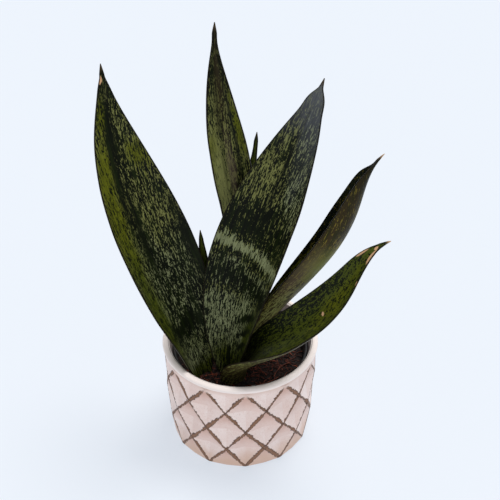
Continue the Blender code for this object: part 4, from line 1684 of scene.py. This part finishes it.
@dataclass(frozen=True)
class Soil:
    """The soil bed: a crumbly surface with crumbs and coir fibres worked into it."""

    rings: int = 110
    sides: int = 300
    wall_steps: int = 8
    lump: float = 0.0011
    rough_grain: float = 180.0
    broad_grain: float = 45.0
    edge_fade: float = 0.004
    upward_limit: float = 0.2
    crumb_density: float = 95000.0
    crumb_radius: float = 0.0011
    crumb_seed: int = 5
    crumb_sizes: tuple = ((0.25, 0.25, 0.2), (1.0, 0.8, 0.7))
    fibre_density: float = 62000.0
    fibre_radius: float = 0.0004
    fibre_seed: int = 11
    fibre_tilt: float = 0.16
    fibre_sizes: tuple = ((0.45, 0.45, 0.6), (1.25, 1.25, 1.2))
    fibre_bends: tuple = ((0.011, 60.0), (0.006, 95.0), (0.022, 34.0))
    bare_edge: float = 0.003

    def surface_height(self, radius: float) -> float:
        """Height of the smooth bed at this radius."""
        share = min(radius / SIZES.bed_radius, 1.0)
        return SIZES.soil_top - SIZES.soil_dome * (1 - math.cos(math.pi * share))

    def top_rings(self) -> list[np.ndarray]:
        """Shape the crumbly surface.

        Returns:
            Its rings, from near the middle to the edge.
        """
        rings = []
        for row in range(1, self.rings + 1):
            radius = SIZES.bed_radius * row / self.rings
            ring = []
            fade = min((SIZES.bed_radius - radius) / self.edge_fade, 1.0)
            for side in range(self.sides):
                angle = math.tau * side / self.sides
                x, y = radius * math.sin(angle), -radius * math.cos(angle)
                fine, wide = self.rough_grain, self.broad_grain
                rough = noise.fractal(Vector((x * fine, y * fine, 3.0)), 0.8, 2.2, 4)
                broad = noise.noise(Vector((x * wide, y * wide, 9.0)))
                lift = self.lump * (0.9 * rough + 0.9 * broad) * fade
                ring.append((x, y, self.surface_height(radius) + lift))
            rings.append(np.array(ring))
        return rings

    def build(self, effects: Effects) -> list[bpy.types.Object]:
        """Make the soil and what is worked into its surface.

        Args:
            effects: The shared node groups.

        Returns:
            The finished pieces.
        """
        top = self.top_rings()
        floor = SIZES.liner_floor + SIZES.liner_wall + SIZES.fit_gap
        rings = list(top)
        edge = self.surface_height(SIZES.bed_radius)
        for step in range(1, self.wall_steps + 1):
            height = edge + (floor - edge) * step / self.wall_steps
            rings += turned_rings([(SIZES.soil_radius(height), height)], self.sides)
        middle = Vector((0, 0, self.surface_height(0)))
        bed = lofted_mesh("soil_bed", rings, middle, Vector((0, 0, floor)))
        settle_normals(bed)
        pieces = [place_piece("soil_bed", bed, PEAT.material(effects), "potting_soil", "soil")]
        cover = lofted_mesh("soil_cover", top, middle, Vector((0, 0, floor)))
        settle_normals(cover)
        crumb_skin = CRUMB.material(effects)
        fibre_skin = COIR.material(effects)
        crumbs = self.scatter("soil_crumbs", cover.copy(), self.crumb_tree(), crumb_skin,
                              {"Density": self.crumb_density, "Seed": self.crumb_seed})
        pieces.append(place_piece("soil_crumbs", crumbs, crumb_skin, "potting_soil"))
        fibres = self.scatter("coir_mat", cover, self.fibre_tree(), fibre_skin,
                              {"Density": self.fibre_density, "Seed": self.fibre_seed})
        pieces.append(place_piece("coir_mat", fibres, fibre_skin, "coir_fibre"))
        return pieces

    def scatter(self, name: str, mesh: bpy.types.Mesh, tree: bpy.types.NodeTree,
                material: bpy.types.Material, values: dict) -> bpy.types.Mesh:
        """Run a scattering tree over the soil's surface.

        Args:
            name: The result's name.
            mesh: The surface.
            tree: The geometry node tree.
            material: What the scattered bits are made of.
            values: The tree's inputs by name.

        Returns:
            The baked mesh.
        """
        obj = bpy.data.objects.new(name, mesh)
        bpy.context.scene.collection.objects.link(obj)
        add_geometry_nodes(obj, tree, {**values, "Material": material,
                                       "Keep In": SIZES.bed_radius - self.bare_edge})
        return baked(obj)

    @staticmethod
    def scatter_inputs() -> dict:
        """The inputs that both scattering trees have."""
        return {"Geometry": ("NodeSocketGeometry", None), "Density": (FLOAT, 1000.0),
                "Seed": ("NodeSocketInt", 1), "Keep In": (FLOAT, 0.05),
                "Material": ("NodeSocketMaterial", None)}

    def spread(self, wiring: Wiring, given: dict[str, Signal]) -> Signal:
        """Points on the upward faces inside the pot's wall.

        Args:
            wiring: The tree's wiring.
            given: The tree's inputs.

        Returns:
            The points.
        """
        x, y, _ = wiring.split(wiring.position())
        inside = wiring.math("LESS_THAN", wiring.root(x * x + y * y), given["Keep In"])
        normal = wiring.split(wiring.made("GeometryNodeInputNormal", {}))[2]
        upward = wiring.math("GREATER_THAN", normal, self.upward_limit)
        return wiring.made("GeometryNodeDistributePointsOnFaces", {
            "Mesh": given["Geometry"], "Selection": inside * upward,
            "Density": given["Density"], "Seed": given["Seed"]}, "Points")

    @staticmethod
    def finish_scatter(wiring: Wiring, given: dict[str, Signal], leave: bpy.types.Node,
                       instances: Value, seed: int) -> None:
        """Tone, realize and dress the instances.

        Args:
            wiring: The tree's wiring.
            given: The tree's inputs.
            leave: The tree's output node.
            instances: What was scattered.
            seed: The tones' seed.
        """
        toned = wiring.made("GeometryNodeStoreNamedAttribute", {
            "Geometry": instances, "Name": "tone", "Value": wiring.random_value(0.0, 1.0, seed)},
            data_type="FLOAT", domain="INSTANCE")
        wiring.feed(leave.inputs[0], wiring.realized(toned, given["Material"]))

    def crumb_tree(self) -> bpy.types.NodeTree:
        """Small lumps of peat scattered over the bed.

        Returns:
            The geometry node tree.
        """
        wiring, given, leave = new_group("crumb_scatter", self.scatter_inputs(),
                                         {"Geometry": "NodeSocketGeometry"}, "GeometryNodeTree")
        lump = wiring.made("GeometryNodeMeshIcoSphere", {"Radius": self.crumb_radius,
                                                         "Subdivisions": 2}, "Mesh")
        place = wiring.position()
        rough = wiring.grain(place, 900.0, 2.0) - 0.2
        offset = wiring.made("ShaderNodeVectorMath", {0: place, "Scale": rough}, operation="SCALE")
        lump = wiring.made("GeometryNodeSetPosition", {"Geometry": lump, "Offset": offset})
        turn = wiring.random_value((0, 0, 0), (math.tau, math.tau, math.tau), 21, "FLOAT_VECTOR")
        size = wiring.random_value(*self.crumb_sizes, 22, "FLOAT_VECTOR")
        copies = wiring.made("GeometryNodeInstanceOnPoints", {
            "Points": self.spread(wiring, given), "Instance": lump, "Rotation": turn, "Scale": size})
        self.finish_scatter(wiring, given, leave, copies, 23)
        return wiring.tree

    def fibre_tree(self) -> bpy.types.NodeTree:
        """Curved coir fibres laid every way over the bed.

        Returns:
            The geometry node tree.
        """
        wiring, given, leave = new_group("fibre_scatter", self.scatter_inputs(),
                                         {"Geometry": "NodeSocketGeometry"}, "GeometryNodeTree")
        profile = wiring.made("GeometryNodeCurvePrimitiveCircle", {"Resolution": 4,
                                                                   "Radius": self.fibre_radius})
        shapes = wiring.place("GeometryNodeGeometryToInstance")
        for bend, sweep in self.fibre_bends:
            arc = wiring.made("GeometryNodeCurveArc", {
                "Resolution": 7, "Radius": bend, "Start Angle": math.radians(-sweep / 2),
                "Sweep Angle": math.radians(sweep)})
            tube = wiring.made("GeometryNodeCurveToMesh", {"Curve": arc, "Profile Curve": profile,
                                                           "Fill Caps": True})
            wiring.feed(shapes.inputs[0], wiring.made("GeometryNodeTransform", {
                "Geometry": tube, "Translation": (-bend, 0.0, self.fibre_radius)}))
        tilt = self.fibre_tilt
        turn = wiring.random_value((-tilt, -tilt, 0.0), (tilt, tilt, math.tau), 31, "FLOAT_VECTOR")
        size = wiring.random_value(*self.fibre_sizes, 32, "FLOAT_VECTOR")
        copies = wiring.made("GeometryNodeInstanceOnPoints", {
            "Points": self.spread(wiring, given), "Instance": shapes.outputs[0],
            "Pick Instance": True, "Rotation": turn, "Scale": size})
        self.finish_scatter(wiring, given, leave, copies, 33)
        return wiring.tree


@dataclass(frozen=True)
class Strand:
    """One loose coir strand on the soil, thicker and longer than the fibres in the mat."""

    name: str
    middle: tuple[float, float]
    length: float
    heading: float
    bend: float

    POINTS = 44
    SIDES = 9
    RADIUS = 0.0006
    LIFT = 0.0007
    LIFT_SPREAD = 0.0005
    DENTS = 3
    DENT_DEPTH = 0.22

    def build(self, material: bpy.types.Material, soil: Soil) -> bpy.types.Object:
        """Make the strand.

        Args:
            material: Its finish.
            soil: The bed that it lies on.

        Returns:
            The finished piece.
        """
        step = self.length / (self.POINTS - 1)
        heading = math.radians(self.heading - self.bend / 2)
        turn = math.radians(self.bend) / (self.POINTS - 1)
        route = [Vector((0.0, 0.0, 0.0))]
        headings = [heading]
        for _ in range(self.POINTS - 1):
            route.append(route[-1] + Vector((math.cos(heading), math.sin(heading), 0.0)) * step)
            heading += turn
            headings.append(heading)
        centre = sum(route, Vector((0.0, 0.0, 0.0))) / len(route)
        middle = Vector((self.middle[0] * SIZES.bed_radius, self.middle[1] * SIZES.bed_radius, 0.0))
        rings = []
        for i, point in enumerate(route):
            share = i / (self.POINTS - 1)
            place = point - centre + middle
            rough = noise.noise(Vector((share * 7, self.heading, 2.0)))
            radius = self.RADIUS * (0.75 + 0.3 * rough) * min(1.0, 0.35 + 6 * share, 0.35 + 6 * (1 - share))
            place.z = (soil.surface_height(place.length) + self.RADIUS + self.LIFT
                       + self.LIFT_SPREAD * rough)
            side = Vector((-math.sin(headings[i]), math.cos(headings[i]), 0.0))
            ring = []
            for k in range(self.SIDES):
                angle = math.tau * k / self.SIDES
                dent = 1 + self.DENT_DEPTH * math.sin(self.DENTS * angle + share * 11)
                offset = side * math.cos(angle) + Vector((0, 0, math.sin(angle)))
                ring.append(tuple(place + offset * radius * dent))
            rings.append(np.array(ring))
        mesh = lofted_mesh(self.name, rings)
        settle_normals(mesh)
        return place_piece(f"{self.name}_frayed", mesh, material, "coir_fibre", self.name)


STRANDS = (
    Strand("coir_strand_1", (0.36, -0.66), 0.030, 22, 50),
    Strand("coir_strand_2", (0.64, -0.34), 0.026, 50, -55),
    Strand("coir_strand_3", (0.74, 0.16), 0.024, 110, -45),
    Strand("coir_strand_4", (0.50, 0.58), 0.030, 140, 50),
    Strand("coir_strand_5", (-0.10, 0.72), 0.030, 8, -40),
    Strand("coir_strand_6", (-0.62, 0.38), 0.028, 60, 55),
)


@dataclass(frozen=True)
class Chip:
    """One chip of bark or grain of grit, broken rough."""

    name: str
    middle: tuple[float, float]
    size: tuple[float, float, float]
    heading: float
    finish: EarthFinish
    slot: str

    CUTS = 5
    BALL_RADIUS = 0.62
    BALL_SHARE = 0.45
    BREAK_DEPTH = 0.16

    def build(self, effects: Effects) -> bpy.types.Object:
        """Make the chip.

        Args:
            effects: The shared node groups.

        Returns:
            The finished piece.
        """
        middle = Vector((self.middle[0] * SIZES.bed_radius, self.middle[1] * SIZES.bed_radius,
                         SIZES.soil_top + self.size[2] / 2 + SIZES.fit_gap))
        build = bmesh.new()
        bmesh.ops.create_cube(build, size=1.0)
        bmesh.ops.subdivide_edges(build, edges=build.edges[:], cuts=self.CUTS, use_grid_fill=True)
        for vertex in build.verts:
            ball = vertex.co.normalized() * self.BALL_RADIUS
            vertex.co = vertex.co.lerp(ball, self.BALL_SHARE)
            rough = noise.fractal(vertex.co * 3.1 + Vector((self.heading, 0, 0)), 0.9, 2.1, 3)
            vertex.co *= 1 + self.BREAK_DEPTH * rough
        shape = Matrix.Translation(middle) @ Matrix.Rotation(math.radians(self.heading), 4, "Z")
        bmesh.ops.transform(build, matrix=shape @ Matrix.Diagonal((*self.size, 1.0)), verts=build.verts)
        mesh = bpy.data.meshes.new(self.name)
        build.to_mesh(mesh)
        build.free()
        settle_normals(mesh)
        return place_piece(f"{self.name}_broken", mesh, self.finish.material(effects), self.slot,
                           self.name)


CHIPS = (
    Chip("bark_chip_1", (0.16, 0.58), (0.0080, 0.0045, 0.0022), 25, BARK, "bark"),
    Chip("bark_chip_2", (0.40, 0.18), (0.0065, 0.0050, 0.0020), -40, BARK, "bark"),
    Chip("bark_chip_3", (-0.42, 0.70), (0.0090, 0.0050, 0.0025), 70, BARK, "bark"),
    Chip("grit_grain_1", (0.20, -0.80), (0.0028, 0.0022, 0.0020), 15, GRIT, "grit"),
)


# ---------------------------------------------------------------- floor, light and camera


@dataclass(frozen=True)
class Studio:
    """Plain pale floor, soft light and the camera."""

    floor_half: float = 40.0
    floor_colour: Colour = (0.30, 0.30, 0.30, 1.0)
    floor_glow: Colour = (0.53, 0.58, 0.65, 1.0)
    floor_roughness: float = 0.9
    sky: Colour = (0.93, 0.96, 1.0, 1.0)
    backdrop: Colour = display(239, 246, 254)
    sky_strength: float = 0.50
    key_strength: float = 1.95
    key_softness: float = math.radians(30)
    key_from: tuple[float, float, float] = (0.22, 0.24, 1.0)
    fill_strength: float = 3.5
    fill_size: float = 1.0
    fill_from: tuple[float, float, float] = (-0.25, -1.6, 0.75)
    camera_distance: float = 0.782
    camera_elevation: float = math.radians(41.1)
    look_up: float = math.radians(5.43)
    look_right: float = math.radians(0.63)
    roll: float = math.radians(0.15)
    lens: float = 64.8

    def build(self) -> None:
        """Set the stage."""
        self.floor()
        self.light()
        self.camera()
        view = bpy.context.scene.view_settings
        view.view_transform = "Standard"

    def floor(self) -> None:
        """A plain pale floor."""
        build = bmesh.new()
        bmesh.ops.create_grid(build, x_segments=8, y_segments=8, size=self.floor_half)
        mesh = bpy.data.meshes.new("floor")
        build.to_mesh(mesh)
        build.free()
        material, _, shader = new_material("floor_paint", ShaderSettings(specular=0.1))
        shader.inputs["Base Color"].default_value = self.floor_colour
        shader.inputs["Roughness"].default_value = self.floor_roughness
        shader.inputs["Emission Color"].default_value = self.floor_glow
        shader.inputs["Emission Strength"].default_value = 1.0
        mesh.materials.append(material)
        obj = bpy.data.objects.new("floor", mesh)
        bpy.context.scene.collection.objects.link(obj)

    def light(self) -> None:
        """An even pale sky, a soft high key from the right and behind, and a weak front fill."""
        world = bpy.data.worlds.new("studio_sky")
        world.use_nodes = True
        sky = world.node_tree.nodes["Background"]
        sky.inputs["Color"].default_value = self.sky
        sky.inputs["Strength"].default_value = self.sky_strength
        wiring = Wiring(world.node_tree)
        backdrop = wiring.made("ShaderNodeBackground", {"Color": self.backdrop})
        seen = wiring.made("ShaderNodeLightPath", {}, "Is Camera Ray")
        shown = wiring.made("ShaderNodeMixShader", {0: seen, 1: sky.outputs[0], 2: backdrop})
        wiring.feed(world.node_tree.nodes["World Output"].inputs[0], shown)
        bpy.context.scene.world = world
        lamp = bpy.data.lights.new("key_lamp", "SUN")
        lamp.energy = self.key_strength
        lamp.angle = self.key_softness
        obj = bpy.data.objects.new("key_lamp", lamp)
        obj.rotation_euler = (-Vector(self.key_from)).to_track_quat("-Z", "Y").to_euler()
        bpy.context.scene.collection.objects.link(obj)
        fill = bpy.data.lights.new("fill_lamp", "AREA")
        fill.shape = "DISK"
        fill.size = self.fill_size
        fill.energy = self.fill_strength
        obj = bpy.data.objects.new("fill_lamp", fill)
        obj.location = self.fill_from
        obj.rotation_euler = (-Vector(self.fill_from)).to_track_quat("-Z", "Y").to_euler()
        bpy.context.scene.collection.objects.link(obj)

    def camera(self) -> None:
        """The camera in front of the plant, looking down into the pot."""
        data = bpy.data.cameras.new("camera")
        data.lens = self.lens
        data.sensor_width = 36.0
        obj = bpy.data.objects.new("camera", data)
        aim_point = Vector((0, 0, SIZES.pot_height))
        back = Vector((0, -math.cos(self.camera_elevation), math.sin(self.camera_elevation)))
        obj.location = aim_point + back * self.camera_distance
        forward = -back
        right = forward.cross(Vector((0, 0, 1))).normalized()
        forward = Matrix.Rotation(self.look_up, 3, right) @ forward
        up = right.cross(forward)
        forward = Matrix.Rotation(-self.look_right, 3, up) @ forward
        right = forward.cross(up).normalized()
        right = Matrix.Rotation(self.roll, 3, forward) @ right
        up = right.cross(forward)
        obj.rotation_euler = Matrix((right, up, -forward)).transposed().to_euler()
        bpy.context.scene.collection.objects.link(obj)
        bpy.context.scene.camera = obj


def dress_rootstock(effects: Effects) -> None:
    """Give the buried rootstock its finish.

    Args:
        effects: The shared node groups.
    """
    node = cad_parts["rootstock"]
    material = ROOT.material(effects)
    node.data.materials.clear()
    node.data.materials.append(material)


def main() -> None:
    """Build every piece in order."""
    logging.basicConfig(level=logging.INFO, format="%(name)s: %(message)s")
    effects = Effects()
    Studio().build()
    CoverPot().build(effects)
    NurseryPot().build(effects)
    soil = Soil()
    soil.build(effects)
    dress_rootstock(effects)
    for blade in LEAVES:
        blade.build(effects)
    strand_coir = STRAND_COIR.material(effects)
    for strand in STRANDS:
        strand.build(strand_coir, soil)
    for chip in CHIPS:
        chip.build(effects)


if __name__ == "__main__":
    main()
